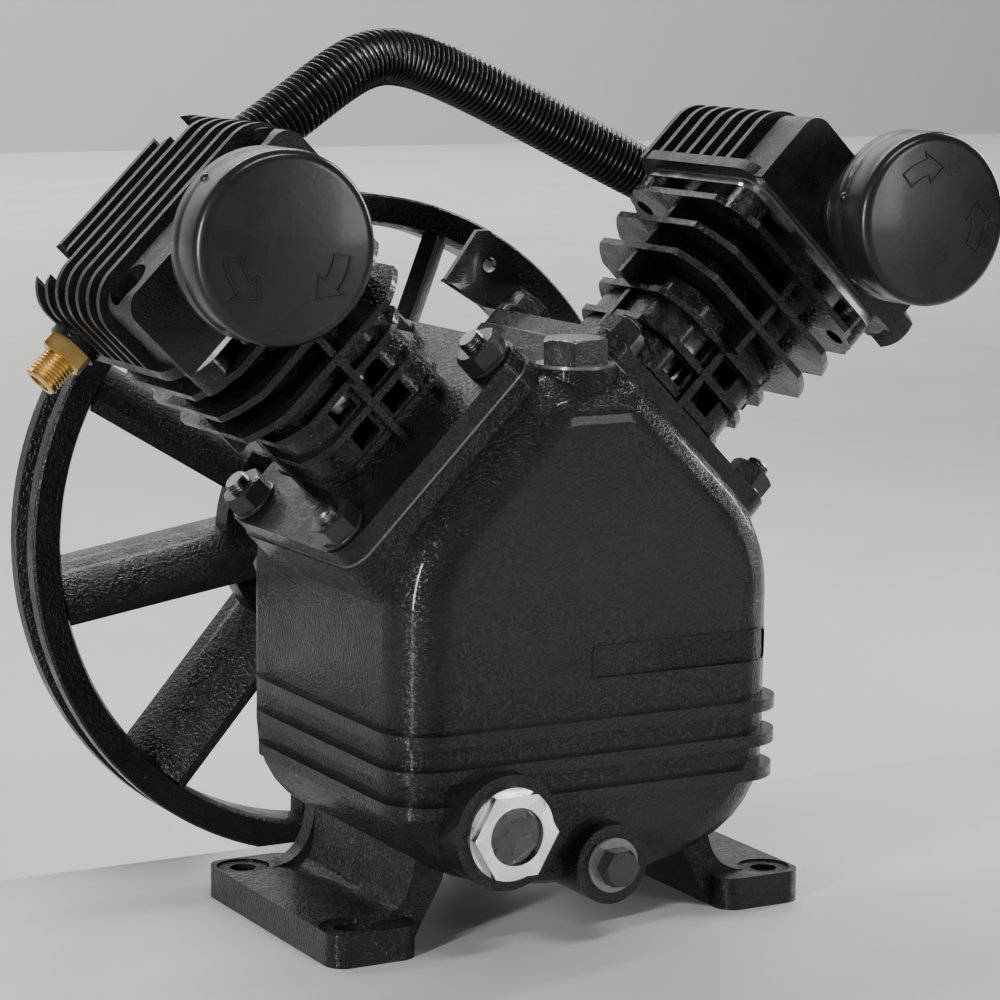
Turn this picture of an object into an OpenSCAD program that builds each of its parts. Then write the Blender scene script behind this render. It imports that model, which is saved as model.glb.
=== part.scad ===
// V-twin piston pump head for an air compressor: a cast crankcase on two feet, two
// finned cylinders at right angles, a belt-groove flywheel whose spokes are fan
// blades, two screw-cap intake filters and one ribbed discharge hose.
// The crank axis runs along Y, the flywheel is at +Y and the sight glass faces -Y.
// The origin is the middle of the foot bolt pattern, on the underside of the feet.

/* [Crankcase] */
// Height of the crank axis above the underside of the feet
crank_h = 134; // [130:1:150]
// Half width of the crankcase walls
case_half_w = 86; // [84:1:92]
// Front wall, forward of the middle of the feet
case_front = 76; // [74:1:84]
// Rear wall, behind the middle of the feet
case_back = 64; // [60:1:68]
// Radius of the rounded front edge
case_round = 20; // [12:1:24]
// Depth of the sump underside below the crank axis
sump_depth = 112; // [110:1:118]
// Height of the flat top above the crank axis
case_top = 94; // [90:1:98]
// Thickness of the casting's walls
case_wall = 8; // [6:0.5:9]
// Distance of the two sloping shoulders from the crank axis
shoulder_d = 80; // [78:1:82]
// Distance of the cylinder pads from the crank axis
pad_d = 86; // [84:1:90]
// Bend radius between a side wall and its shoulder
shoulder_round = 60; // [40:1:70]
// Radius of the crank chamber
chamber_r = 62; // [60:0.5:64]
// Number of ribs round the crankcase
rib_count = 3; // [1:1:3]
// Height of the top rib above the feet
rib_top = 90; // [88:1:94]
// Spacing of the ribs
rib_pitch = 14; // [10:1:15]
// Thickness of a rib
rib_t = 5; // [3:0.5:6]
// How far a rib stands out of the wall
rib_stand = 3.5; // [2:0.5:5]

/* [Feet] */
// Distance between the outer edges of the two feet
foot_span = 218; // [210:1:230]
// Width of a foot
foot_w = 38.5; // [34:0.5:42]
// Length of a foot along the crank axis
foot_len = 123; // [118:1:130]
// Thickness of a foot
foot_t = 13.5; // [10:0.5:16]
// Bolt spacing across the pump
foot_hole_dx = 194; // [190:1:198]
// Bolt spacing along the crank axis
foot_hole_dy = 98; // [90:1:104]
// Radius of a foot bolt hole
foot_hole_r = 5.5; // [4.5:0.5:6.5]

/* [Cylinders] */
// Half of the stagger between the two cylinders along the crank axis
bank_stagger = 13; // [12:0.5:14]
// Middle of the two cylinders along the crank axis
bank_mid = 5; // [3:1:6]
// Radius of the cylinder bore
bore_r = 25.5; // [24:0.25:26]
// Distance of the cylinder's top face from the crank axis
deck_d = 184; // [182:1:190]
// Outer radius of the barrel
barrel_r = 32; // [30:0.5:34]
// Half width of the base flange across the pump
flange_half = 55; // [54:0.5:56]
// Half length of the base flange along the crank axis
flange_len_half = 53; // [51:1:55]
// Thickness of the base flange
flange_t = 8; // [7:0.5:10]
// Half spacing of the base studs across the pump
stud_x = 44.4; // [43:0.2:45]
// Half spacing of the base studs along the crank axis
stud_y = 40.5; // [39:0.5:42]
// Radius of a base stud
stud_r = 5; // [4:0.5:5]
// Height of the lowest fin above the base flange
fin_rise = 9; // [6:0.5:11]
// Thickness of a cooling fin
fin_t = 3; // [2:0.25:4]
// Half width of the wide upper fins
fin_half = 48; // [44:1:50]
// Half width of the short lower fins
low_fin_half = 36; // [34:1:38]

/* [Heads] */
// Thickness of the valve plate
valve_t = 3; // [2:0.5:5]
// Half width of a head across the pump
head_half = 51; // [49:1:53]
// Half length of a head along the crank axis
head_len_half = 50; // [48:1:52]
// Height of a head with its fins
head_h = 41; // [36:1:46]
// Height of the head's solid core
head_core_h = 20; // [16:1:24]
// Number of head fins
head_fins = 7; // [3:1:7]
// Spacing of the head fins
head_fin_pitch = 10.5; // [9:0.5:10.5]
// Thickness of a head fin
head_fin_t = 3; // [2:0.25:4]
// Half spacing of the head bolts
head_bolt = 36; // [34:0.5:37]
// Radius of a head bolt
head_bolt_r = 4; // [3:0.5:4]

/* [Intake filters] */
// Height of the filter axis above the head's underside
filter_rise = 25; // [23:0.5:30]
// Radius of the filter cap
cap_r = 35.5; // [32:0.5:38]
// Depth of the filter cap
cap_depth = 24; // [20:1:28]
// How far the cap's face stands forward of the head's middle
cap_reach = 102; // [98:1:108]
// Wall of the filter cap
cap_wall = 1.5; // [1:0.25:2.5]

/* [Flywheel] */
// Outer radius of the flywheel
wheel_r = 150; // [140:1:160]
// Width of the rim
rim_w = 28.5; // [26:0.5:32]
// Radial thickness of the rim
rim_t = 14; // [13:0.5:18]
// Front face of the rim, behind the middle of the feet
rim_front = 148.5; // [146:0.5:154]
// Width of the belt groove at the rim's surface
groove_w = 13; // [11:0.5:17]
// Depth of the belt groove
groove_depth = 9; // [7:0.5:10]
// Number of fan-blade spokes
spoke_count = 9; // [5:1:9]
// Width of a spoke blade across its chord
blade_chord = 38; // [30:1:40]
// Thickness of a spoke blade
blade_t = 6; // [4:0.5:8]
// Pitch angle of a spoke blade out of the wheel's plane
blade_pitch = 30; // [15:1:40]
// Bow radius of a spoke blade
blade_bow = 45; // [35:1:80]
// Radius of the flywheel's hub disc
hub_disc_r = 56; // [50:1:60]
// Radius of the flywheel's hub
hub_r = 30; // [26:1:34]

/* [Crank train] */
// Crank throw, half of the stroke
throw = 21.5; // [20:0.5:22]
// Radius of the crank pin
pin_r = 11; // [10:0.25:11]
// Gap between a piston's crown and the cylinder's top face at the end of the stroke
crown_gap = 3.5; // [1:0.5:6]
// Width of a connecting rod's big end
big_end_w = 24; // [20:0.5:25]
// Outer radius of a connecting rod's big end
big_end_r = 18; // [16:0.5:18]
// Radius of the shaft in the inner bearing
journal_r = 15; // [14:0.5:16]
// Radius of the shaft in the outer bearing and the flywheel
shaft_r = 12.5; // [11:0.5:13]
// Height of the piston crown above its pin
crown_h = 33; // [30:0.5:34]
// Length of a piston
piston_len = 50; // [44:1:54]

/* [Discharge hose] */
// Outer radius over the ribs
hose_r = 12; // [10:0.5:13]
// Depth of the valleys between the ribs
hose_rib_h = 1.8; // [1:0.2:2.4]
// Radius of the hose bore
hose_bore_r = 7.5; // [6:0.5:8]
// Number of ribs
hose_ribs = 96; // [60:1:120]

/* [Sight glass and plugs] */
// Sight glass axis, left of the middle
glass_x = 46; // [42:1:50]
// Height of the sight glass axis
glass_z = 53.5; // [50:0.5:58]
// Radius of the sight glass boss
glass_boss_r = 23; // [20:1:25]
// Radius of the clear window
window_r = 11.5; // [9:0.5:12]
// Drain plug axis, right of the middle
drain_x = 3; // [0:1:8]
// Height of the drain plug axis
drain_z = 34; // [32:0.5:38]
// Filler plug axis, forward of the middle of the feet
filler_y = 54; // [50:1:56]

/* [Hidden] */

$fn = 64;
eps = 0.5;
gap = 0.3;
fit = 0.05;
v_half = 45;
root2 = sqrt(2);
black = "#17181a";
steel = "#a9adb2";
iron = "#4b4d50";

// Crankcase profile
sump_side = 62;
apex_round = 12;
rear_round = 6;
bend = tan(v_half / 2);
sump_steps = 10;
bend_steps = 8;
chamber_in = 10;
chamber_back = case_back - chamber_in;
sump_in = 18;
sump_back = case_back - sump_in;
sump_half = 58;
sump_floor = 92;
well_half = 30;
well_floor = 104;
pad_t = 20;
pad_grow = 1;
pad_round = 12;
spigot_r = barrel_r - 1;
rib_round = 20;

// Legs and bosses
foot_x = (foot_span - foot_w) / 2;
foot_round = 8;
leg_half = 50;
leg_web = 9;
leg_wall = 8;
leg_in = 15;
leg_rise = 42;
leg_top = 56;
leg_toe = 3;
leg_hip = 5;
spot_r = 11;
spot_depth = 0.8;
glass_front = 87;
glass_bore_r = 14;
drain_boss_r = 16;
drain_front = 83;
drain_bore_r = 7;
boss_root = 50;
filler_boss_r = 17;
filler_boss_h = 1.5;
filler_bore_r = 10;
cartouche = [84, 13];
cartouche_at = [39, 114.5];
cartouche_depth = 1;

// Rear cover
cover_r = 78;
cover_t = 10;
gasket_t = 0.5;
cover_rib = 14;
cover_rib_t = 6;
cover_bolt_pcd = 70;
cover_bolts = 6;
m8_r = 4;
m8_af = 13;
m8_h = 5.5;
bearing_in = [journal_r, 31, 16];
bearing_out = [shaft_r, 26, 15];
bearing_in_y = 57;
housing_r = 40;
housing_back = 122;
bearing_out_y = 99;
seal_r = 26;
seal_t = 6;
relief_r = 22;

// Crankshaft
web_y = 32;
web_t = 17;
web_hub_r = 22;
web_pin_r = 17;
weight_r = 54;
weight_half = 44;
shaft_end = 177;
end_washer_t = 5;
spoke_turn = 11;
hub_front = 126;
hub_back = 179;
thread_r = 6;
shaft_step = 2;
end_bolt_af = 19;
disc_t = 12;
rim_lip = 1;
groove_angle = 17;
key = [6, 30, 6];
key_sink = 3.5;

// Cylinder and head, along each cylinder's own axis
base_gasket_t = 1;
flange_d = pad_d + base_gasket_t;
flange_top = flange_d + flange_t;
flange_round = 11;
spigot_len = 10;
nut_af = 17;
nut_h = 8;
washer_r = 10;
washer_t = 1.6;
stud_out = 4;
stud_in = 16;
top_fin_drop = 10;
top_fin_d = deck_d - top_fin_drop;
wide_fins = 3;
low_fins = 3;
fin_pitch = (top_fin_d - flange_top - fin_rise) / (wide_fins + low_fins - 1);
low_top = top_fin_d - wide_fins * fin_pitch;
fin_shrink = 1.5;
fin_bow = 1.2;
collar_r = 37;
corner_boss_r = 8.5;
web_half = 1.5;
panel_half = 32;
panel_over = 10;
panel_top = low_top + panel_over;
pocket = [11, 8, 9];
pocket_gap = 8;
web_out = 3;
web_in = 4;
valve_half = 45;
valve_round = 12;
valve_port_r = 4;
valve_port = [8, 12];
gasket_bridge = 3;
gasket_land = 20;
head_gasket_t = 1;
head_d = deck_d + valve_t + head_gasket_t;
head_flange_t = 5;
core_half = 44;
head_round = 16;
box_len = 21.5;
box_top = 38;
box_in = 4;
fin_start = 8;
hose_boss_r = 11.5;
chamber_wall = 6;
outlet_y = 36;
plug_y = -27.3;
port_d = 11;
port_r = 8;
port_boss_r = 10.5;
intake_r = 9;
intake_end = 4;
port_boss_out = 3;
hose_port_d = 17;
access_r = 9;
chamber_h = 14;
head_bolt_down = 15;
head_bolt_h = 8;
head_bolt_af = 13;

// Intake filter
filter_d = head_d + filter_rise;
neck_r = 17;
neck_seat = 3;
neck_step = 4;
base_r = 33;
base_lip = 4;
tube_r = 9;
tube_wall = 3;
lip_t = 2;
element_r = 30;
element_in_r = 14;
element_gap = 1.5;
cap_edge = 4;
bump_r = 2.2;
bumps = 3;

// Hose route, chosen by hand, from the left head's elbow to the right head's
elbow_out = 16;
elbow_r = 10;
elbow_bore_r = 6;
elbow_thread = 8;
knuckle = 1;
hose_rise_left = 31;
hose_rise_right = 25;
elbow_arm = 24;
nut_len = 12;
nut_af_big = 24;

// Shared shapes

// Rectangle with true round corners, centred
module round_rect(w, h, r) {
  square([w - 2 * r, h], center = true);
  square([w, h - 2 * r], center = true);
  for (sx = [-1, 1])
    for (sy = [-1, 1])
      translate([sx * (w / 2 - r), sy * (h / 2 - r)])
        circle(r);
}

// Plate lying on z = 0 with round corners
module round_plate(w, h, t, r) {
  linear_extrude(t)
    round_rect(w, h, r);
}

// Extrusion along Y of an outline drawn in x and z, from y = y0 to y = y1
module along_y(y0, y1) {
  translate([0, y1, 0])
    rotate([90, 0, 0])
      linear_extrude(y1 - y0)
        children();
}

// Cylinder along Y
module bar_y(x, z, r, y0, y1) {
  translate([x, y0, z])
    rotate([-90, 0, 0])
      cylinder(r = r, h = y1 - y0);
}

// Six-sided prism of a given width across its flats
module hexagon(af, h) {
  cylinder(r = af / 2 / cos(30), h = h, $fn = 6);
}

// Ring lying on z = 0
module ring(r_out, r_in, t) {
  difference() {
    cylinder(r = r_out, h = t);
    translate([0, 0, -eps])
      cylinder(r = r_in, h = t + 2 * eps);
  }
}

// Places its children on one cylinder's axis: z runs out from the crank axis
module bank(side) {
  translate([0, bank_mid + side * bank_stagger, crank_h])
    rotate([0, side * v_half, 0])
      children();
}

// Points of an arc
function arc(cx, cy, r, a0, a1, n) =
  [for (i = [0:n]) let (a = a0 + (a1 - a0) * i / n) [cx + r * cos(a), cy + r * sin(a)]];

// Half width of the sump at a height below the crank axis
function sump_step(drop) = sqrt(max(0, sump_depth - drop) / (sump_depth - sump_side));
function case_half(drop) = case_half_w * (1 - pow(1 - min(1, sump_step(drop)), 2));

// Right half of the crankcase outline, about the crank axis, from the sump up
function case_right() = concat(
  [for (i = [0:sump_steps]) let (t = i / sump_steps)
    [case_half_w * (1 - pow(1 - t, 2)), -sump_depth + (sump_depth - sump_side) * t * t]],
  arc(case_half_w - shoulder_round, shoulder_d * root2 - case_half_w - shoulder_round * bend,
    shoulder_round, 0, v_half, bend_steps),
  arc(shoulder_d * root2 - case_top - apex_round * bend, case_top - apex_round,
    apex_round, v_half, 90, bend_steps / 2));

// Whole crankcase outline
function case_outline() = let (p = case_right(), n = len(p))
  concat(p, [for (i = [n - 1:-1:1]) [-p[i].x, p[i].y]]);

// Rings of the outline from front to rear, each as its y and how far it is drawn in
edge_steps = 5;
case_rings = concat(
  [for (i = [0:edge_steps]) let (a = 90 * i / edge_steps)
    [-case_front + case_round * (1 - cos(a)), case_round * (1 - sin(a))]],
  [for (i = [edge_steps - 2:-1:0]) let (a = 90 * i / (edge_steps - 2))
    [case_back - rear_round * (1 - cos(a)), rear_round * (1 - sin(a))]]);

// One ring of points: the outline drawn in about its middle
case_mid = (sump_depth - case_top) / 2;
case_tall = (sump_depth + case_top) / 2;
function case_ring(y, inset) = [for (p = case_outline())
  [p.x * (1 - inset / case_half_w), y, crank_h - case_mid + (p.y + case_mid) * (1 - inset / case_tall)]];

// Outside of the crankcase with its rounded front and rear edges
module case_shell() {
  n = len(case_outline());
  m = len(case_rings);
  points = [for (r = case_rings) each case_ring(r[0], r[1])];
  walls = [for (i = [0:m - 2]) for (k = [0:n - 1])
    let (a = i * n + k, b = i * n + (k + 1) % n)
      each [[a, b, a + n], [b, b + n, a + n]]];
  polyhedron(points, concat(walls,
    [[for (k = [n - 1:-1:0]) k], [for (k = [0:n - 1]) (m - 1) * n + k]]));
}

// Raised pad under one cylinder
module case_pad(side) {
  bank(side)
    translate([0, 0, pad_d - pad_t])
      round_plate(2 * (flange_half + pad_grow), 2 * (flange_len_half + pad_grow), pad_t, pad_round);
}

// Ribs round the crankcase
module case_ribs() {
  for (i = [0:rib_count - 1]) {
    z = rib_top - i * rib_pitch;
    half = case_half(crank_h - z) + rib_stand;
    long = case_front + case_back + 2 * rib_stand;
    translate([0, (case_back - case_front) / 2, z - rib_t / 2])
      round_plate(2 * half, long, rib_t, rib_round);
  }
}

// Foot plate with its two bolt holes' stock, and the leg that joins it to the sump
module case_foot(side) {
  translate([side * foot_x, 0, 0])
    round_plate(foot_w, foot_len, foot_t, foot_round);
  inner = foot_x - foot_w / 2;
  for (y = [-leg_half, leg_half - leg_web])
    along_y(y, y + leg_web)
      leg_outline(side, inner, 0);
  along_y(-leg_half, leg_half)
    leg_outline(side, inner, leg_wall);
}

// Outline of a leg in x and z: straight inside, hollow curve outside
module leg_outline(side, inner, thin) {
  toe = inner + leg_in - thin + leg_toe;
  hip = inner - leg_toe;
  rise = [for (i = [0:bend_steps]) let (t = i / bend_steps)
    [toe + (hip - toe) * (1 - pow(1 - t, 2)), foot_t + (leg_rise - foot_t) * t * t]];
  half = concat([[inner, 0], [toe, 0]], rise,
    [[hip + leg_hip, leg_top], [inner - leg_in - leg_hip, leg_top], [inner - leg_in, leg_rise - leg_in]]);
  polygon([for (p = half) [side * p.x, p.y]]);
}

// Everything that is cut out of the crankcase
module case_cuts() {
  bar_y(0, crank_h, chamber_r, -case_front + case_wall, case_back + eps);
  translate([-sump_half, -case_front + case_wall, crank_h - sump_floor])
    cube([2 * sump_half, sump_back + case_front - case_wall, sump_floor]);
  translate([-well_half, -case_front + case_wall, crank_h - well_floor])
    cube([2 * well_half, sump_back + case_front - case_wall, well_floor]);
  for (side = [-1, 1])
    bank(side) {
      cylinder(r = spigot_r + gap, h = pad_d + eps);
      for (sx = [-1, 1])
        for (sy = [-1, 1])
          translate([sx * stud_x, sy * stud_y, pad_d - stud_in - gap])
            cylinder(r = stud_r + fit, h = stud_in + gap + eps);
    }
  for (sx = [-1, 1])
    for (sy = [-1, 1])
      translate([sx * foot_hole_dx / 2, sy * foot_hole_dy / 2, -eps]) {
        cylinder(r = foot_hole_r, h = foot_t + 2 * eps);
        translate([0, 0, foot_t - spot_depth + eps])
          cylinder(r = spot_r, h = spot_depth + eps);
      }
  bar_y(-glass_x, glass_z, glass_bore_r, -glass_front - eps, -case_front + case_wall + eps);
  bar_y(drain_x, drain_z, drain_bore_r, -drain_front - eps, -case_front + case_wall + eps);
  translate([0, -filler_y, crank_h])
    cylinder(r = filler_bore_r, h = case_top + 2 * filler_boss_h);
  bar_y(0, crank_h, cover_r + gap, case_back, case_back + 2 * pad_round);
  for (i = [0:cover_bolts - 1])
    rotate_cover(i)
      bar_y(0, cover_bolt_pcd, m8_r + fit, case_back - 2 * case_wall, case_back + eps);
  along_y(-case_front - rib_stand, -case_front + cartouche_depth)
    translate(cartouche_at)
      square(cartouche, center = true);
}

// Turns its children to one of the rear cover's bolts
module rotate_cover(i) {
  translate([0, 0, crank_h])
    rotate([0, (i + 1 / 2) * 360 / cover_bolts, 0])
      children();
}

module crankcase() {
  color(black)
    difference() {
      union() {
        case_shell();
        case_ribs();
        for (side = [-1, 1]) {
          case_pad(side);
          case_foot(side);
        }
        bar_y(-glass_x, glass_z, glass_boss_r, -glass_front, -boss_root);
        bar_y(drain_x, drain_z, drain_boss_r, -drain_front, -boss_root);
        translate([0, -filler_y, crank_h + chamber_r])
          cylinder(r = filler_boss_r, h = case_top - chamber_r + filler_boss_h);
      }
      case_cuts();
    }
}

module rear_cover_gasket() {
  color(steel)
    difference() {
      bar_y(0, crank_h, cover_r, case_back, case_back + gasket_t);
      bar_y(0, crank_h, chamber_r + gap, case_back - eps, case_back + gasket_t + eps);
      for (i = [0:cover_bolts - 1])
        rotate_cover(i)
          bar_y(0, cover_bolt_pcd, m8_r + gap, case_back - eps, case_back + gasket_t + eps);
    }
}

module rear_cover() {
  back = case_back + gasket_t;
  in_end = bearing_in_y + bearing_in[2];
  out_end = bearing_out_y + bearing_out[2];
  color(black)
    difference() {
      union() {
        bar_y(0, crank_h, cover_r, back, back + cover_t);
        bar_y(0, crank_h, chamber_r - gap, chamber_back, back + eps);
        bar_y(0, crank_h, housing_r, back, housing_back);
        for (i = [0:cover_bolts - 1])
          rotate_cover(i + 1 / 2)
            along_y(back, back + cover_t + cover_rib)
              translate([-cover_rib_t / 2, housing_r / 2])
                square([cover_rib_t, cover_bolt_pcd - housing_r / 2]);
      }
      bar_y(0, crank_h, bearing_in[1] + fit, chamber_back - eps, in_end);
      bar_y(0, crank_h, relief_r, in_end - eps, bearing_out_y + eps);
      bar_y(0, crank_h, bearing_out[1] + fit, bearing_out_y, out_end);
      bar_y(0, crank_h, seal_r + fit, out_end - eps, housing_back + eps);
      for (i = [0:cover_bolts - 1])
        rotate_cover(i)
          bar_y(0, cover_bolt_pcd, m8_r + gap, back - eps, housing_back);
    }
}

module rear_cover_bolts() {
  seat = case_back + gasket_t + cover_t;
  color(black)
    for (i = [0:cover_bolts - 1])
      rotate_cover(i) {
        bar_y(0, cover_bolt_pcd, m8_r, case_back - case_wall, seat + m8_h);
        bar_y(0, cover_bolt_pcd, m8_r * 2, seat, seat + washer_t);
        translate([0, seat + washer_t, cover_bolt_pcd])
          rotate([-90, 0, 0])
            hexagon(m8_af, m8_h);
      }
}

// Ball bearing drawn as its two rings, shields and a grease groove, one solid
module bearing(size, y) {
  mid = (size[0] + size[1]) / 2;
  land = (size[1] - size[0]) / 5;
  color(steel)
    difference() {
      bar_y(0, crank_h, size[1], y, y + size[2]);
      bar_y(0, crank_h, size[0] + fit, y - eps, y + size[2] + eps);
      for (face = [y - eps, y + size[2] - eps])
        difference() {
          bar_y(0, crank_h, mid + land, face, face + 2 * eps);
          bar_y(0, crank_h, mid - land, face - eps, face + 3 * eps);
        }
    }
}

module inner_bearing() {
  bearing(bearing_in, bearing_in_y);
}

module outer_bearing() {
  bearing(bearing_out, bearing_out_y);
}

module shaft_seal() {
  y = bearing_out_y + bearing_out[2] + gap;
  color("#3a2a22")
    difference() {
      bar_y(0, crank_h, seal_r, y, y + seal_t);
      bar_y(0, crank_h, shaft_r + fit, y - eps, y + seal_t + eps);
      bar_y(0, crank_h, (seal_r + shaft_r) / 2, y + seal_t / 2, y + seal_t + eps);
    }
}

// Crank web: a boss round the pin, a boss round the shaft and a counterweight
module web_outline() {
  circle(web_hub_r);
  translate([0, throw])
    circle(web_pin_r);
  translate([-web_pin_r, 0])
    square([2 * web_pin_r, throw]);
  intersection() {
    circle(weight_r);
    translate([-weight_half, -weight_r])
      square([2 * weight_half, weight_r - web_hub_r / 2]);
  }
}

module crankshaft() {
  color(steel)
    difference() {
      union() {
        translate([0, 0, crank_h])
          along_y(web_y, web_y + web_t)
            web_outline();
        bar_y(0, crank_h, journal_r + shaft_step, web_y + web_t - eps, bearing_in_y - gap);
        bar_y(0, crank_h, journal_r, web_y + web_t, bearing_in_y + bearing_in[2] + shaft_step);
        bar_y(0, crank_h, shaft_r, bearing_in_y, shaft_end);
      }
      bar_y(0, crank_h, thread_r, shaft_end - key[1], shaft_end + eps);
      translate([-key[0] / 2 - fit, hub_front + key[0] - fit, crank_h + shaft_r - key_sink])
        cube([key[0] + 2 * fit, key[1] + 2 * fit, key[2]]);
    }
}

// Drilled pin that both rods run on, a piece of its own in front of the crank web
module crank_pin() {
  pin_front = bank_mid - bank_stagger - big_end_w / 2;
  color(steel)
    difference() {
      bar_y(0, crank_h + throw, pin_r, pin_front, web_y - gap);
      bar_y(0, crank_h + throw, pin_r / 3, pin_front - eps, web_y);
    }
}

// Rim cross-section in radius and width
module rim_section() {
  inner = wheel_r - rim_t;
  root = groove_w / 2 - groove_depth * tan(groove_angle);
  difference() {
    polygon([[inner + rim_lip * 2, 0], [wheel_r - rim_lip, 0], [wheel_r, rim_lip], [wheel_r, rim_w - rim_lip],
      [wheel_r - rim_lip, rim_w], [inner + rim_lip * 2, rim_w],
      [inner, rim_w - rim_lip * 4], [inner, rim_lip * 4]]);
    translate([wheel_r, rim_w / 2])
      polygon([[-groove_depth, -root], [eps, -groove_w / 2], [eps, groove_w / 2], [-groove_depth, root]]);
  }
}

// Bowed blade section, chord along x, drawn about its middle
module blade_section() {
  sag = sqrt(blade_bow * blade_bow - blade_chord * blade_chord / 4);
  intersection() {
    difference() {
      translate([0, -sag])
        circle(blade_bow + blade_t / 2);
      translate([0, -sag])
        circle(blade_bow - blade_t / 2);
    }
    square([blade_chord, blade_chord], center = true);
  }
}

// One spoke: a blade of constant bowed section from the hub to the rim
module spoke() {
  translate([0, 0, hub_disc_r - blade_chord / 2])
    linear_extrude(wheel_r - rim_t - hub_disc_r + blade_chord / 2 + 2 * eps)
      rotate(-blade_pitch)
        blade_section();
}

module flywheel() {
  mid = rim_w / 2;
  color(black)
    translate([0, rim_front, crank_h])
      rotate([-90, 0, 0])
        difference() {
          union() {
            rotate_extrude($fn = 128)
              rim_section();
            translate([0, 0, mid - disc_t / 2])
              cylinder(r = hub_disc_r, h = disc_t);
            translate([0, 0, hub_front - rim_front])
              cylinder(r = hub_r, h = hub_back - hub_front);
            for (i = [0:spoke_count - 1])
              rotate([0, 0, spoke_turn + i * 360 / spoke_count])
                translate([0, 0, mid])
                  rotate([0, 90, 0])
                    spoke();
          }
          translate([0, 0, hub_front - rim_front - eps])
            cylinder(r = shaft_r + fit / 5, h = hub_back - hub_front + 2 * eps);
          translate([-key[0] / 2 - fit, -shaft_r - key[2] + key_sink - fit, hub_front - rim_front - eps])
            cube([key[0] + 2 * fit, key[2], hub_back - hub_front + 2 * eps]);
        }
}

module flywheel_key() {
  color(steel)
    translate([-key[0] / 2, hub_front + key[0], crank_h + shaft_r - key_sink + fit])
      cube([key[0], key[1], key[2] - 2 * fit]);
}

module flywheel_washer() {
  color(steel)
    translate([0, hub_back, crank_h])
      rotate([-90, 0, 0])
        ring(hub_r - key_sink, thread_r + gap, end_washer_t);
}

module flywheel_bolt() {
  seat = hub_back + end_washer_t;
  color(steel) {
    bar_y(0, crank_h, thread_r - fit, shaft_end - key[1] + gap, seat);
    translate([0, seat, crank_h])
      rotate([-90, 0, 0])
        hexagon(end_bolt_af, nut_h);
  }
}

// One cooling fin: a square with bowed sides and round corners
module fin(half) {
  intersection() {
    round_rect(2 * half, 2 * half, half / 4);
    circle(half * fin_bow, $fn = 96);
  }
}

module cylinder_body(side) {
  color(black)
    bank(side)
      difference() {
        union() {
          translate([0, 0, flange_d])
            round_plate(2 * flange_half, 2 * flange_len_half, flange_t, flange_round);
          translate([0, 0, pad_d - spigot_len])
            cylinder(r = spigot_r, h = spigot_len + flange_t);
          translate([0, 0, flange_d])
            cylinder(r = barrel_r, h = deck_d - flange_d);
          translate([0, 0, flange_d])
            round_plate(2 * panel_half, 2 * panel_half, panel_top - flange_d, panel_half / 2);
          translate([0, 0, top_fin_d])
            cylinder(r = collar_r, h = deck_d - top_fin_d);
          for (i = [0:wide_fins - 1])
            translate([0, 0, top_fin_d - i * fin_pitch - fin_t / 2])
              linear_extrude(fin_t)
                fin(fin_half - i * fin_shrink);
          for (i = [0:low_fins - 1])
            translate([0, 0, low_top - i * fin_pitch - fin_t / 2])
              linear_extrude(fin_t)
                fin(low_fin_half - i * fin_shrink);
          for (turn = [0, 90])
            rotate(turn) {
              translate([-web_half, -panel_half - web_out, flange_d])
                cube([2 * web_half, 2 * (panel_half + web_out), top_fin_d - flange_d]);
              translate([-web_half, -fin_half + web_in, low_top])
                cube([2 * web_half, 2 * (fin_half - web_in), top_fin_d - low_top]);
            }
          for (sx = [-1, 1])
            for (sy = [-1, 1])
              translate([sx * head_bolt, sy * head_bolt, top_fin_d - fin_t / 2])
                cylinder(r = corner_boss_r, h = deck_d - top_fin_d + fin_t / 2);
        }
        translate([0, 0, pad_d - spigot_len - eps])
          cylinder(r = bore_r, h = deck_d - pad_d + spigot_len + 2 * eps);
        for (sx = [-1, 1])
          for (sy = [-1, 1]) {
            translate([sx * stud_x, sy * stud_y, flange_d - eps])
              cylinder(r = stud_r + gap, h = flange_t + 2 * eps);
            translate([sx * head_bolt, sy * head_bolt, top_fin_d - fin_t])
              cylinder(r = head_bolt_r + gap, h = deck_d - top_fin_d + fin_t + eps);
          }
        for (sx = [-1, 1])
          for (i = [0:1])
            translate([sx * (pocket[0] + pocket_gap) / 2 - pocket[0] / 2, -panel_half - eps,
              low_top - (i + 1) * fin_pitch + fin_t])
              cube([pocket[0], panel_half - barrel_r / root2, pocket[2]]);
      }
}

module cylinder_gasket(side) {
  color(steel)
    bank(side)
      translate([0, 0, pad_d])
        difference() {
          round_plate(2 * flange_half, 2 * flange_len_half, base_gasket_t, flange_round);
          translate([0, 0, -eps])
            cylinder(r = spigot_r + gap, h = base_gasket_t + 2 * eps);
          for (sx = [-1, 1])
            for (sy = [-1, 1])
              translate([sx * stud_x, sy * stud_y, -eps])
                cylinder(r = stud_r + gap, h = base_gasket_t + 2 * eps);
        }
}

// Base studs, each with its washer and nut
module cylinder_studs(side) {
  color(black)
    bank(side)
      for (sx = [-1, 1])
        for (sy = [-1, 1])
          translate([sx * stud_x, sy * stud_y, 0]) {
            lift = side > 0 && sx < 0 && sy > 0 ? bracket_t : 0;
            translate([0, 0, pad_d - stud_in])
              cylinder(r = stud_r, h = flange_top - pad_d + stud_in + washer_t + nut_h + stud_out);
            translate([0, 0, flange_top + lift])
              cylinder(r = washer_r, h = washer_t);
            translate([0, 0, flange_top + lift + washer_t])
              hexagon(nut_af, nut_h);
          }
}

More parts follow.
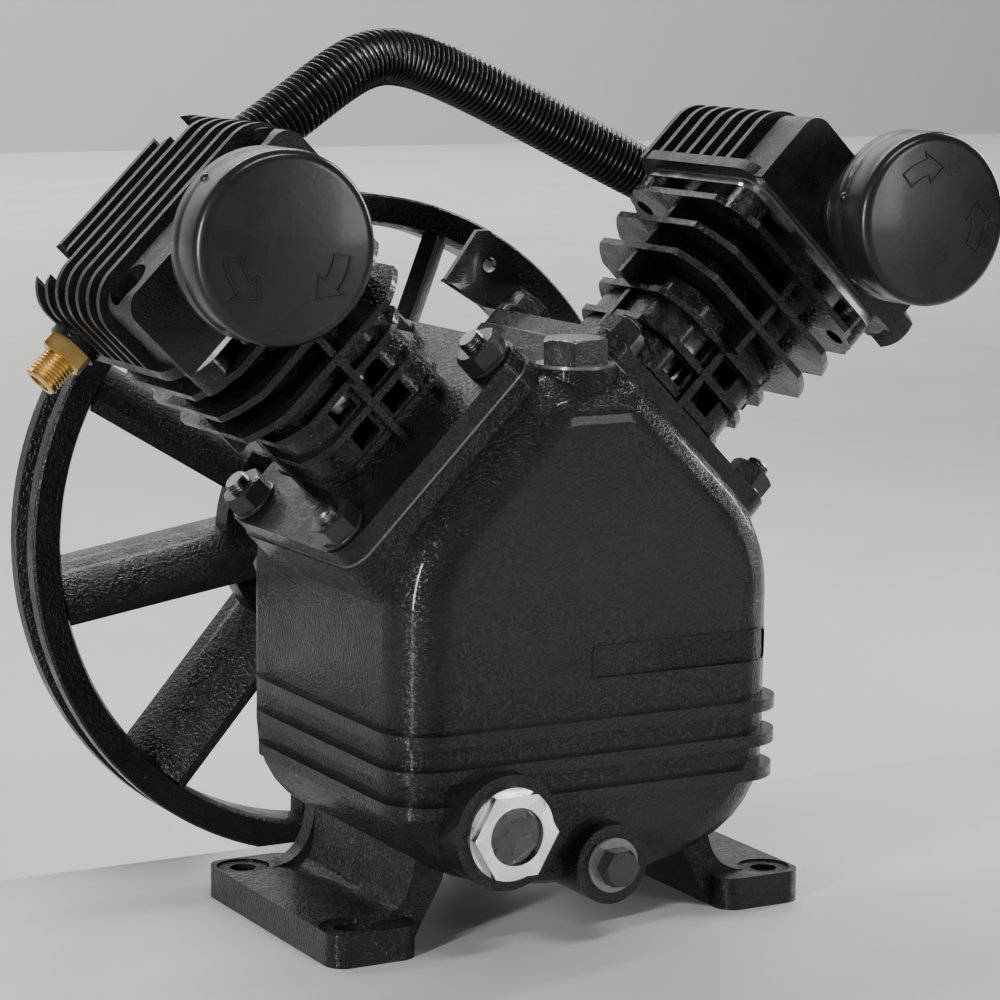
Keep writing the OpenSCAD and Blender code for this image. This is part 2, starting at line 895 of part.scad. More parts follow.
module valve_plate(side) {
  color(steel)
    bank(side)
      translate([0, 0, deck_d])
        difference() {
          round_plate(2 * valve_half, 2 * valve_half, valve_t, valve_round);
          for (sx = [-1, 1])
            for (sy = [-1, 1])
              translate([sx * head_bolt, sy * head_bolt, -eps])
                cylinder(r = head_bolt_r + gap, h = valve_t + 2 * eps);
          for (sy = [-1, 1])
            for (sx = [-1, 1])
              translate([sx * valve_port.x, sy * valve_port.y, -eps])
                cylinder(r = valve_port_r, h = valve_t + 2 * eps);
        }
}

module head_gasket(side) {
  window = valve_half - gasket_land;
  color(iron)
    bank(side)
      translate([0, 0, deck_d + valve_t])
        difference() {
          round_plate(2 * valve_half, 2 * valve_half, head_gasket_t, valve_round);
          for (sx = [-1, 1])
            for (sy = [-1, 1])
              translate([sx * head_bolt, sy * head_bolt, -eps])
                cylinder(r = head_bolt_r + gap, h = head_gasket_t + 2 * eps);
          for (sy = [-1, 1])
            translate([0, sy * (window + gasket_bridge) / 2, -eps])
              round_plate(2 * window, window, head_gasket_t + 2 * eps, valve_port_r);
        }
}

// Outline of a head fin across the pump: flat top with round shoulders
module head_fin_outline(half, h, r) {
  translate([-half, 0])
    square([2 * half, h - r]);
  translate([-half + r, 0])
    square([2 * (half - r), h]);
  for (sx = [-1, 1])
    translate([sx * (half - r), h - r])
      circle(r);
}

module head(side) {
  color(black)
    bank(side)
      translate([0, 0, head_d])
        difference() {
          union() {
            round_plate(2 * head_half, 2 * head_len_half, head_flange_t, head_round);
            round_plate(2 * core_half, 2 * (head_len_half - head_fin_t), head_core_h, head_round / 2);
            for (i = [0:head_fins - 1])
              along_y(head_len_half - fin_start - i * head_fin_pitch - head_fin_t,
                head_len_half - fin_start - i * head_fin_pitch)
                head_fin_outline(head_half, head_h, head_round);
            along_y(-head_len_half, -head_len_half + box_len)
              head_fin_outline(head_half - box_in, box_top, head_round / 2);
            translate([0, side < 0 ? outlet_y : plug_y, port_d])
              rotate([0, side * 90, 0])
                cylinder(r = port_boss_r, h = head_half + port_boss_out);
            bar_y(0, hose_port_d, hose_boss_r, 0, head_len_half);
          }
          translate([0, side < 0 ? outlet_y : plug_y, port_d])
            rotate([0, side * 90, 0])
              cylinder(r = port_r, h = head_half + port_boss_out + eps);
          bar_y(0, hose_port_d, port_r, 0, head_len_half + eps);
          bar_y(0, filter_d - head_d, intake_r, -head_len_half - eps, -head_len_half + box_len - intake_end);
          for (y = [-barrel_r, chamber_wall / 2])
            translate([-barrel_r, y, -eps])
              cube([2 * barrel_r, barrel_r - chamber_wall / 2, chamber_h]);
          translate([-intake_r / 2, -head_len_half + box_len / 2, chamber_h / 2])
            cube([intake_r, head_len_half - barrel_r - box_len / 2 + chamber_wall / 3,
              chamber_h / 2 + intake_end]);
          for (sx = [-1, 1])
            for (sy = [-1, 1])
              translate([sx * head_bolt, sy * head_bolt, -eps]) {
                cylinder(r = head_bolt_r + gap, h = head_core_h + 2 * eps);
                translate([0, 0, head_core_h])
                  cylinder(r = access_r, h = head_h);
              }
        }
}

module head_bolts(side) {
  seat = head_d + head_core_h;
  color(black)
    bank(side)
      for (sx = [-1, 1])
        for (sy = [-1, 1])
          translate([sx * head_bolt, sy * head_bolt, 0]) {
            translate([0, 0, deck_d - head_bolt_down])
              cylinder(r = head_bolt_r, h = seat - deck_d + head_bolt_down + washer_t);
            translate([0, 0, seat])
              cylinder(r = head_bolt_r * 2, h = washer_t);
            translate([0, 0, seat + washer_t])
              hexagon(head_bolt_af, head_bolt_h);
          }
}

// Rest pose of the crank pin, seen along one cylinder's own axes
pin_side = throw * sin(v_half);
pin_up = throw * cos(v_half);
rod_len = deck_d - crown_gap - throw - crown_h;
rod_tilt = asin(pin_side / rod_len);
wrist_d = pin_up + rod_len * cos(rod_tilt);
wrist_r = 7.5;
small_end_w = 16;
small_end_r = 12;
rod_root = 10;
rod_rail = 3;
skirt = 4;
ring_t = 2;
ring_count = 3;
boss_in = 1;
pin_boss_in = 3.5;
pin_in = 3;
dipper_t = 2.5;
dipper_w = 6;
dipper_reach = 60.5;

module conrod(side) {
  shank = small_end_w;
  color(iron)
    bank(side)
      translate([-side * pin_side, 0, pin_up])
        rotate([0, side * rod_tilt, 0])
          difference() {
            union() {
              bar_y(0, 0, big_end_r, -big_end_w / 2, big_end_w / 2);
              bar_y(0, rod_len, small_end_r, -shank / 2, shank / 2);
              along_y(-shank / 4, shank / 4)
                polygon([[-rod_root, 0], [rod_root, 0], [shank / 2, rod_len], [-shank / 2, rod_len]]);
              for (sx = [-1, 1])
                translate([sx * shank / 2 - rod_rail / 2, -shank / 2, 0])
                  cube([rod_rail, shank, rod_len]);
            }
            bar_y(0, 0, pin_r + fit, -big_end_w, big_end_w);
            bar_y(0, rod_len, wrist_r + fit, -shank, shank);
          }
}

module piston(side) {
  color(steel)
    bank(side)
      translate([0, 0, wrist_d + crown_h - piston_len])
        difference() {
          union() {
            ring(bore_r - 2 * fit, bore_r - skirt, piston_len);
            translate([0, 0, piston_len - 2 * skirt])
              cylinder(r = bore_r - skirt + fit, h = 2 * skirt);
            for (sy = [-1, 1])
              bar_y(0, piston_len - crown_h, wrist_r + skirt,
                sy < 0 ? pin_boss_in - bore_r : small_end_w / 2 + gap,
                sy < 0 ? -small_end_w / 2 - gap : bore_r - pin_boss_in);
          }
          bar_y(0, piston_len - crown_h, wrist_r + fit, -bore_r, bore_r);
          for (i = [0:ring_count - 1])
            translate([0, 0, piston_len - skirt - 2 * i * ring_t - ring_t])
              difference() {
                cylinder(r = bore_r + eps, h = ring_t);
                cylinder(r = bore_r - skirt / 2 - gap, h = ring_t);
              }
        }
}

module piston_rings(side) {
  color(iron)
    bank(side)
      translate([0, 0, wrist_d + crown_h - piston_len])
        for (i = [0:ring_count - 1])
          translate([0, 0, piston_len - skirt - 2 * i * ring_t - ring_t + fit])
            ring(bore_r - fit, bore_r - skirt / 2, ring_t - 2 * fit);
}

module wrist_pin(side) {
  color(steel)
    bank(side)
      difference() {
        bar_y(0, wrist_d, wrist_r, pin_in - bore_r, bore_r - pin_in);
        bar_y(0, wrist_d, wrist_r / 2, -bore_r, bore_r);
      }
}

// Splash finger on the front face of the front connecting rod
module oil_dipper() {
  color(steel)
    bank(-1)
      translate([pin_side, 0, pin_up])
        rotate([0, -rod_tilt, 0])
          difference() {
            along_y(-big_end_w / 2 - dipper_t, -big_end_w / 2) {
              circle(big_end_r - boss_in);
              translate([-dipper_w / 2, -dipper_reach])
                square([dipper_w, dipper_reach - pin_r - fit]);
            }
            bar_y(0, 0, pin_r + boss_in, -big_end_w, big_end_w);
          }
}

// Filter housing: neck, flared body and flat lip, turned about the filter axis
module filter_base(side) {
  front = cap_reach - cap_depth - head_len_half;
  color(black)
    bank(side)
      translate([0, -head_len_half, filter_d])
        rotate([90, 0, 0])
          difference() {
            rotate_extrude()
              polygon(concat([[tube_r - tube_wall, 0], [neck_r + neck_seat, 0],
                [neck_r + neck_seat, neck_seat], [neck_r, neck_step]],
                [for (i = [1:bend_steps]) let (t = i / bend_steps)
                  [neck_r + (base_r - neck_r) * t * t, neck_step + (front - base_lip - neck_step) * t]],
                [[base_r, front + lip_t], [base_r - lip_t, front + lip_t], [base_r - lip_t, front],
                  [tube_r, front], [tube_r, front + cap_depth / 2],
                  [tube_r - tube_wall, front + cap_depth / 2]]));
            for (i = [0:bumps - 1])
              rotate(i * 360 / bumps)
                translate([(base_r + element_r - lip_t) / 2, 0, front - base_lip / 2])
                  cube([bump_r, bump_r * 3, base_lip], center = true);
          }
}

module filter_element(side) {
  color("#c9c2ad")
    bank(side)
      translate([0, -cap_reach + cap_wall + element_gap, filter_d])
        rotate([-90, 0, 0])
          ring(element_r, element_in_r, cap_depth - cap_wall - element_gap - eps);
}

// Pressed-steel cap with a rounded face edge and three lock bumps
module filter_cap(side) {
  color(black)
    bank(side)
      translate([0, -cap_reach, filter_d])
        rotate([-90, 0, 0])
          difference() {
            union() {
              rotate_extrude()
                polygon(concat([[0, 0]],
                  arc(cap_r - cap_edge, cap_edge, cap_edge, -90, 0, bend_steps),
                  [[cap_r, cap_depth], [0, cap_depth]]));
              for (i = [0:bumps - 1])
                rotate(i * 360 / bumps + 150)
                  translate([cap_r - bump_r / 2, 0, cap_depth - bump_r * 3])
                    sphere(bump_r);
            }
            translate([0, 0, cap_wall])
              cylinder(r = cap_r - cap_wall, h = cap_depth);
          }
}

// Hose: elbows screw into the rear of each head and turn towards each other
function bank_y(side) = bank_mid + side * bank_stagger;
function elbow_at(side) =
  [side * (head_d + hose_port_d) / root2, bank_y(side) + head_len_half + elbow_out,
    crank_h + (head_d + hose_port_d) / root2];
function rise(side) = side < 0 ? hose_rise_left : hose_rise_right;
function hose_end(side, run) = let (e = elbow_at(side), a = rise(side))
  [e.x - side * run * cos(a), e.y, e.z + run * sin(a)];

// Turns its children so that z runs out of an elbow towards the hose
module hose_axis(side) {
  translate(elbow_at(side))
    rotate([0, -side * (90 - rise(side)), 0])
      children();
}

module hose_elbow(side) {
  e = elbow_at(side);
  color(black)
    difference() {
      union() {
        bar_y(e.x, e.z, elbow_r, bank_y(side) + head_len_half + gap / 3, e.y);
        hose_axis(side) {
          rotate([0, 90, 0])
            cylinder(r = elbow_r + knuckle, h = 2 * (elbow_r + knuckle), center = true);
          cylinder(r = elbow_r, h = elbow_arm);
        }
        bar_y(e.x, e.z, port_r - fit, bank_y(side) + head_len_half - elbow_thread, e.y - elbow_r);
      }
      bar_y(e.x, e.z, elbow_bore_r, bank_y(side), e.y + knuckle);
      hose_axis(side)
        cylinder(r = elbow_bore_r - eps, h = elbow_arm + eps);
    }
}

module hose_nut(side) {
  color(steel)
    hose_axis(side)
      difference() {
        translate([0, 0, elbow_arm - nut_len / 2])
          hexagon(nut_af_big, nut_len);
        translate([0, 0, elbow_arm - nut_len])
          cylinder(r = elbow_r + fit, h = nut_len + gap / 3);
        translate([0, 0, elbow_arm])
          cylinder(r = hose_bore_r, h = nut_len);
      }
}

// Route of the hose's middle line: straight at both ends, one smooth arch between
hose_start = elbow_arm + nut_len / 2 + gap / 3;
hose_straight = 2 * hose_r;
hose_left_pull = 95;
hose_right_pull = 150;
function bez(p, t) = pow(1 - t, 3) * p[0] + 3 * t * pow(1 - t, 2) * p[1]
  + 3 * t * t * (1 - t) * p[2] + pow(t, 3) * p[3];
function bez_dir(p, t) = pow(1 - t, 2) * (p[1] - p[0]) + 2 * t * (1 - t) * (p[2] - p[1])
  + t * t * (p[3] - p[2]);
hose_bez = [hose_end(-1, hose_start + hose_straight),
  hose_end(-1, hose_start + hose_straight + hose_left_pull),
  hose_end(1, hose_start + hose_straight + hose_right_pull),
  hose_end(1, hose_start + hose_straight)];
arch_steps = 400;
arch_pts = [for (i = [0:arch_steps]) bez(hose_bez, i / arch_steps)];

// Running length along a list of points
function run_length(p, i = 1, s = 0, out = [0]) = i >= len(p) ? out :
  let (n = s + norm(p[i] - p[i - 1])) run_length(p, i + 1, n, concat(out, [n]));
arch_run = run_length(arch_pts);
arch_len = arch_run[arch_steps];
hose_len = arch_len + 2 * hose_straight;

// Place on the hose at a running length
function find_step(s, lo = 0, hi = arch_steps) = hi - lo <= 1 ? lo :
  let (m = floor((lo + hi) / 2)) arch_run[m] > s ? find_step(s, lo, m) : find_step(s, m, hi);
function arch_at(s) = let (i = find_step(s), f = (s - arch_run[i]) / (arch_run[i + 1] - arch_run[i]))
  (i + f) / arch_steps;
function hose_at(s) = s <= hose_straight ? hose_end(-1, hose_start + s)
  : s >= hose_len - hose_straight ? hose_end(1, hose_start + hose_len - s)
  : bez(hose_bez, arch_at(s - hose_straight));
function unit(v) = v / norm(v);
function hose_dir(s) = s <= hose_straight ? unit(hose_end(-1, 1) - hose_end(-1, 0))
  : s >= hose_len - hose_straight ? unit(hose_end(1, 0) - hose_end(1, 1))
  : unit(bez_dir(hose_bez, arch_at(s - hose_straight)));

// One ring of points round the hose's middle line
hose_sides = 8;
function hose_ring(s, r) =
  let (c = hose_at(s), d = hose_dir(s), a = unit(cross(d, [0, 1, 0])), b = cross(a, d))
  [for (k = [0:hose_sides - 1]) let (w = 360 * k / hose_sides)
    c + r * cos(w) * a + r * sin(w) * b];

// Ribs along the hose: each rib has a crest ring and a valley ring
rib_step = hose_len / hose_ribs;
hose_rings = concat(
  [hose_ring(0, hose_r - hose_rib_h)],
  [for (i = [0:hose_ribs - 1]) for (h = [0, 1])
    hose_ring((i + (h == 0 ? 1 / 3 : 5 / 6)) * rib_step, h == 0 ? hose_r : hose_r - hose_rib_h)],
  [hose_ring(hose_len, hose_r - hose_rib_h)]);
hose_bore_rings = [for (i = [0:24]) hose_ring(hose_len * i / 24, hose_bore_r)];

// Faces of a tube skin between rings, turned in or out
function skin(n, base, flip) = [for (i = [0:n - 2]) for (k = [0:hose_sides - 1])
  let (a = base + i * hose_sides + k, b = base + i * hose_sides + (k + 1) % hose_sides,
    c = a + hose_sides, d = b + hose_sides)
    each flip ? [[a, b, c], [b, d, c]] : [[a, c, b], [b, c, d]]];

// Faces of the flat ring at one end, between the outer and the inner ring
function end_faces(outer, inner, flip) = [for (k = [0:hose_sides - 1])
  let (a = outer + k, b = outer + (k + 1) % hose_sides, c = inner + k, d = inner + (k + 1) % hose_sides)
    each flip ? [[a, c, b], [b, c, d]] : [[a, b, c], [b, d, c]]];

module discharge_hose() {
  n_out = len(hose_rings);
  n_in = len(hose_bore_rings);
  points = concat([for (r = hose_rings) each r], [for (r = hose_bore_rings) each r]);
  base = n_out * hose_sides;
  color("#0c0d0e")
    polyhedron(points, concat(skin(n_out, 0, false), skin(n_in, base, true),
      end_faces(0, base, false),
      end_faces((n_out - 1) * hose_sides, base + (n_in - 1) * hose_sides, true)));
}

// Turns its children onto a head's outer side port, z running outward
module side_port(side) {
  bank(side)
    translate([side * (head_half + port_boss_out), side < 0 ? outlet_y : plug_y, head_d + port_d])
      rotate([0, side * 90, 0])
        children();
}

// Brass union with a threaded nose for the tank pipe
outlet_thread_r = 7.14;
outlet_len = 12;
outlet_hex_h = 7;
outlet_bore_r = 4.5;
plug_hex_h = 9;
module outlet_fitting() {
  color("#c8a24a")
    side_port(-1)
      difference() {
        union() {
          translate([0, 0, -elbow_thread])
            cylinder(r = port_r - fit, h = elbow_thread + eps);
          hexagon(nut_af, outlet_hex_h);
          cylinder(r = outlet_thread_r, h = outlet_hex_h + outlet_len);
        }
        translate([0, 0, -elbow_thread - eps])
          cylinder(r = outlet_bore_r, h = elbow_thread + outlet_hex_h + outlet_len + 2 * eps);
      }
}

module outlet_plug() {
  color(black)
    side_port(1) {
      translate([0, 0, -elbow_thread])
        cylinder(r = port_r - fit, h = elbow_thread + eps);
      hexagon(nut_af, plug_hex_h);
    }
}

// Turns its children to face forward out of the crankcase front
module front_boss(x, z, y) {
  translate([x, -y, z])
    rotate([90, 0, 0])
      children();
}

glass_collar_r = 18.5;
glass_collar_t = 2.5;
glass_hex_af = 32;
glass_hex_h = 4;
glass_thread = 14;
glass_lip = 2;
lens_t = 4;
module sight_glass_body() {
  color("#d5d8db")
    front_boss(-glass_x, glass_z, glass_front)
      difference() {
        union() {
          translate([0, 0, -glass_thread])
            cylinder(r = glass_bore_r - fit, h = glass_thread + eps);
          cylinder(r = glass_collar_r, h = glass_collar_t);
          translate([0, 0, glass_collar_t])
            hexagon(glass_hex_af, glass_hex_h);
        }
        translate([0, 0, -glass_thread - eps])
          cylinder(r = window_r - glass_lip, h = glass_thread + 2 * eps + glass_collar_t + glass_hex_h);
        translate([0, 0, eps])
          cylinder(r = window_r + fit, h = glass_collar_t + glass_hex_h);
      }
}

module sight_glass_lens() {
  color("#dfe9ef")
    front_boss(-glass_x, glass_z, glass_front)
      translate([0, 0, eps])
        cylinder(r = window_r, h = lens_t);
}

drain_washer_t = 1.5;
drain_hex_af = 14;
drain_hex_h = 7;
module drain_plug() {
  color(black)
    front_boss(drain_x, drain_z, drain_front) {
      translate([0, 0, -glass_thread])
        cylinder(r = drain_bore_r - fit, h = glass_thread + eps);
      translate([0, 0, drain_washer_t])
        hexagon(drain_hex_af, drain_hex_h);
      cylinder(r = drain_bore_r - fit, h = drain_washer_t + eps);
    }
}

drain_washer_out = 4;
module drain_washer() {
  color(steel)
    front_boss(drain_x, drain_z, drain_front)
      ring(drain_bore_r + drain_washer_out, drain_bore_r + gap / 3, drain_washer_t);
}

filler_washer_t = 1.2;
filler_thread = 18;
filler_hex_af = 25;
filler_hex_h = 10;
module filler_washer() {
  color(steel)
    translate([0, -filler_y, crank_h + case_top + filler_boss_h])
      ring(filler_boss_r - filler_washer_t, filler_bore_r + gap, filler_washer_t);
}

module filler_plug() {
  color(black)
    translate([0, -filler_y, crank_h + case_top + filler_boss_h + filler_washer_t]) {
      translate([0, 0, -filler_thread])
        cylinder(r = filler_bore_r - fit, h = filler_thread + eps);
      hexagon(filler_hex_af, filler_hex_h);
    }
}

// Belt guard bracket, seen across the pump about the crank axis
bracket_t = 3;
ear_over = 8;
ear_e = [-54, -34];
fold_h = 115.5;
fold_lap = 2;
flap_lean = -20;
tab_lean = 3;
flap_left = [11.5, 118];
flap_right = [49, 113];
tab_top = [[27, 138], [33, 138]];
tab_shoulder = [48.5, 120];
tab_hole = [33.5, 123];
tab_hole_r = 3.2;

// Sheet leaned about the bracket's fold line
module leaned(lean) {
  translate([0, bank_mid + bank_stagger + flange_len_half + ear_over, crank_h + fold_h])
    rotate([lean, 0, 0])
      translate([0, 0, -fold_h])
        along_y(0, bracket_t)
          children();
}

// Belt guard bracket: one bent sheet. Its ear lies under the rear inner nut of the right
// cylinder, its flap leans back behind the flange and its tab carries the guard's bolt.
module guard_bracket() {
  corner = [for (e = ear_e) [(flange_top + e) / root2, (flange_top - e) / root2]];
  color(black)
    union() {
      bank(1)
        translate([0, 0, flange_top])
          difference() {
            union() {
              translate([-stud_x, stud_y, 0])
                cylinder(r = washer_r + boss_in, h = bracket_t);
              translate([ear_e[0], stud_y, 0])
                cube([ear_e[1] - ear_e[0], flange_len_half + ear_over + bracket_t / 2 - stud_y, bracket_t]);
            }
            translate([-stud_x, stud_y, -eps])
              cylinder(r = stud_r + gap, h = bracket_t + 2 * eps);
          }
      leaned(flap_lean)
        polygon([corner[0], flap_left, flap_right, corner[1]]);
      leaned(tab_lean)
        difference() {
          polygon([flap_left - [0, fold_lap], flap_right - [0, fold_lap],
            tab_shoulder, tab_top[1], tab_top[0]]);
          translate(tab_hole)
            circle(tab_hole_r);
        }
    }
}

crankcase();
rear_cover();
rear_cover_gasket();
rear_cover_bolts();
inner_bearing();
outer_bearing();
shaft_seal();
crankshaft();
crank_pin();
flywheel();
flywheel_key();
flywheel_washer();
flywheel_bolt();
cylinder_gasket(-1);  // cylinder_gasket_left
cylinder_gasket(1);  // cylinder_gasket_right
cylinder_body(-1);  // cylinder_left
cylinder_body(1);  // cylinder_right
cylinder_studs(-1);  // cylinder_studs_left
cylinder_studs(1);  // cylinder_studs_right
valve_plate(-1);  // valve_plate_left
valve_plate(1);  // valve_plate_right
head_gasket(-1);  // head_gasket_left
head_gasket(1);  // head_gasket_right
head(-1);  // head_left
head(1);  // head_right
head_bolts(-1);  // head_bolts_left
head_bolts(1);  // head_bolts_right
conrod(-1);  // conrod_left
conrod(1);  // conrod_right
piston(-1);  // piston_left
piston(1);  // piston_right
piston_rings(-1);  // piston_rings_left
piston_rings(1);  // piston_rings_right
wrist_pin(-1);  // wrist_pin_left
wrist_pin(1);  // wrist_pin_right
oil_dipper();
filter_base(-1);  // filter_base_left
filter_base(1);  // filter_base_right
filter_element(-1);  // filter_element_left
filter_element(1);  // filter_element_right
filter_cap(-1);  // filter_cap_left
filter_cap(1);  // filter_cap_right
discharge_hose();
hose_elbow(-1);  // hose_elbow_left
hose_elbow(1);  // hose_elbow_right
hose_nut(-1);  // hose_nut_left
hose_nut(1);  // hose_nut_right
outlet_fitting();
outlet_plug();
sight_glass_body();
sight_glass_lens();
drain_plug();
drain_washer();
filler_plug();
filler_washer();
guard_bracket();
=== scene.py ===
import math

import bmesh
import bpy
from bpy.props import FloatProperty, FloatVectorProperty, IntProperty, PointerProperty
from mathutils import Matrix, Vector


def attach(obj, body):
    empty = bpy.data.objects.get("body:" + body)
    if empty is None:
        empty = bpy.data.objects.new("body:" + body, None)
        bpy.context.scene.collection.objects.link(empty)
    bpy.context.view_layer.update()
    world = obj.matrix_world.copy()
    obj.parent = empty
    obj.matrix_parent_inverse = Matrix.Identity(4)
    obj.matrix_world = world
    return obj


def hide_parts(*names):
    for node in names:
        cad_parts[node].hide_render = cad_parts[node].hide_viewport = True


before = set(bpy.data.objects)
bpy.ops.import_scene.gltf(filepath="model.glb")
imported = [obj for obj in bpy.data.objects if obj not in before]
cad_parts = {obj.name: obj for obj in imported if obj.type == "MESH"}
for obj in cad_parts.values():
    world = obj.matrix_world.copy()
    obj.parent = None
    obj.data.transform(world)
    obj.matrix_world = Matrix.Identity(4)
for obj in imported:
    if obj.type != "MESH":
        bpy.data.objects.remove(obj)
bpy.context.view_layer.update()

bl_info = {
    "name": "V-twin compressor pump head",
    "version": (1, 0, 0),
    "blender": (4, 5, 0),
    "location": "View3D > Sidebar > Pump head",
    "description": ("Dresses a packed V-twin air compressor pump with enamelled castings, "
                    "a ribbed hose and fasteners"),
    "category": "Object",
}

MM = 0.001
ROOT2 = math.sqrt(2)
SIDES = ((-1, "left"), (1, "right"))

# Height of the crank axis, and the cylinders' places along it
CRANK_H = 134 * MM
BANK_MID = 5 * MM
BANK_STAGGER = 13 * MM


# Sizes and colours a user would change

class PumpFinish(bpy.types.PropertyGroup):
    enamel_colour: FloatVectorProperty(
        name="Enamel colour", description="Colour of the paint on the castings", subtype="COLOR",
        size=3, min=0, max=1, default=(0.0042, 0.0042, 0.0045))
    enamel_roughness: FloatProperty(
        name="Enamel roughness", description="Roughness of the paint on the castings",
        min=0, max=1, default=0.14)
    cast_grain: FloatProperty(
        name="Cast grain", description="Size of the bumps of the cast skin", unit="LENGTH",
        min=0.0002, max=0.01, default=0.0013)
    cast_depth: FloatProperty(
        name="Cast depth", description="Depth of the bumps of the cast skin", unit="LENGTH",
        min=0, max=0.002, default=0.00042)
    edge_round: FloatProperty(
        name="Edge rounding", description="Rounding of the castings' edges", unit="LENGTH",
        min=0, max=0.003, default=0.0011)


class PumpHose(bpy.types.PropertyGroup):
    radius: FloatProperty(
        name="Radius", description="Outer radius over the ribs", unit="LENGTH",
        min=0.008, max=0.014, default=0.012)
    rib_depth: FloatProperty(
        name="Rib depth", description="Depth of the valleys between ribs", unit="LENGTH",
        min=0, max=0.003, default=0.0019)
    ribs: IntProperty(name="Ribs", description="Number of ribs", min=10, max=150, default=96)


class PumpStage(bpy.types.PropertyGroup):
    floor_colour: FloatVectorProperty(
        name="Floor colour", description="Colour of the floor and the backdrop", subtype="COLOR",
        size=3, min=0, max=1, default=(0.46, 0.457, 0.45))
    slab_edge: FloatProperty(
        name="Slab edge", description="Rear edge of the slab under the feet", unit="LENGTH",
        min=0.07, max=0.14, default=0.118)


# Mesh helpers

def link(obj):
    bpy.context.scene.collection.objects.link(obj)
    return obj


def mesh_object(name, bm):
    data = bpy.data.meshes.new(name)
    bm.to_mesh(data)
    bm.free()
    return link(bpy.data.objects.new(name, data))


def bake(obj):
    """Turns an object with modifiers into a plain mesh object."""
    view = bpy.context.evaluated_depsgraph_get()
    data = bpy.data.meshes.new_from_object(obj.evaluated_get(view), preserve_all_data_layers=True,
                                           depsgraph=view)
    data.name = obj.name
    obj.modifiers.clear()
    obj.data = data


def smooth(obj, angle=38):
    """Smooth shading with creases kept where faces meet at more than the angle."""
    for face in obj.data.polygons:
        face.use_smooth = True
    obj.data.set_sharp_from_angle(angle=math.radians(angle))
    return obj


MERGE_DISTANCE = 1e-6
FLAT_ANGLE = math.radians(0.6)
FACE_WEIGHT = 80


def rounded_copy(node, name, width, segments=2, limit=30):
    """A copy of a CAD node with merged faces and rounded edges."""
    bm = bmesh.new()
    bm.from_mesh(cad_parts[node].data)
    bmesh.ops.remove_doubles(bm, verts=bm.verts, dist=MERGE_DISTANCE)
    bmesh.ops.dissolve_limit(bm, angle_limit=FLAT_ANGLE, verts=bm.verts, edges=bm.edges)
    obj = mesh_object(name, bm)
    if not width:
        return smooth(obj)
    for face in obj.data.polygons:
        face.use_smooth = True
    bevel = obj.modifiers.new("Edges", "BEVEL")
    bevel.width = width
    bevel.segments = segments
    bevel.limit_method = "ANGLE"
    bevel.angle_limit = math.radians(limit)
    bevel.miter_outer = "MITER_ARC"
    normals = obj.modifiers.new("Faces", "WEIGHTED_NORMAL")
    normals.weight = FACE_WEIGHT
    normals.keep_sharp = True
    bake(obj)
    return obj


def finish_piece(obj, body, material, *nodes, slot):
    """Gives a piece its material and its body, and hides the CAD nodes that it stands for."""
    obj.data.materials.clear()
    obj.data.materials.append(material)
    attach(obj, body)
    if nodes:
        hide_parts(*nodes)


def dress(node, name, width, material, slot, body="pump_body", segments=2, limit=30):
    """Stands a rounded copy of a CAD node in its place."""
    finish_piece(rounded_copy(node, name, width, segments, limit), body, MATERIALS[material], node,
                 slot=slot)


def ring_skin(bm, rings):
    """Closed skin through rings of points that run counter-clockwise seen from the last ring."""
    rows = [[bm.verts.new(point) for point in ring] for ring in rings]
    count = len(rows[0])
    for low, high in zip(rows, rows[1:]):
        for k in range(count):
            bm.faces.new((low[k], low[(k + 1) % count], high[(k + 1) % count], high[k]))
    bm.faces.new(list(reversed(rows[0])))
    bm.faces.new(rows[-1])


def turned(bm, profile, sides=48):
    """Turned solid from (radius, height) pairs, lowest first."""
    turns = [2 * math.pi * k / sides for k in range(sides)]
    ring_skin(bm, [[(r * math.cos(t), r * math.sin(t), z) for t in turns] for r, z in profile])


HEX_SIDES = 60
HEX_FACE = 0.96    # the flat end's radius against half the width across flats
HEX_SLOPE = math.tan(math.radians(28))


def hex_block(bm, af, low, high, chamfer_low=False):
    """Hexagon with the curved chamfers that a turned corner leaves, always on top."""
    turn = [2 * math.pi * k / HEX_SIDES for k in range(HEX_SIDES)]
    edge = [af / 2 / math.cos(t % (math.pi / 3) - math.pi / 6) for t in turn]
    face_r = af / 2 * HEX_FACE
    flat = [face_r] * HEX_SIDES
    fall = [(e - face_r) * HEX_SLOPE for e in edge]

    def ring(height, radii):
        return [(r * math.cos(t), r * math.sin(t), h) for r, t, h in zip(radii, turn, height)]

    if chamfer_low:
        rings = [ring([low] * HEX_SIDES, flat), ring([low + f for f in fall], edge)]
    else:
        rings = [ring([low] * HEX_SIDES, edge)]
    rings += [ring([high - f for f in fall], edge), ring([high] * HEX_SIDES, flat)]
    ring_skin(bm, rings)


THREAD_TIP = 0.8 * MM
THREAD_END = 0.6 * MM


def thread_profile(r, low, high, pitch=1.25 * MM, depth=0.55 * MM):
    """Profile of a threaded rod end with a chamfered tip."""
    profile = [(r, low)]
    z = low
    while z + pitch < high - THREAD_END:
        profile += [(r, z + 0.25 * pitch), (r - depth, z + 0.6 * pitch), (r, z + pitch)]
        z += pitch
    return profile + [(r, high - THREAD_TIP), (r - THREAD_TIP, high)]


CREST_SHARE = 0.55    # a ridge's crest against its foot
MITRE_LIMIT = 0.4


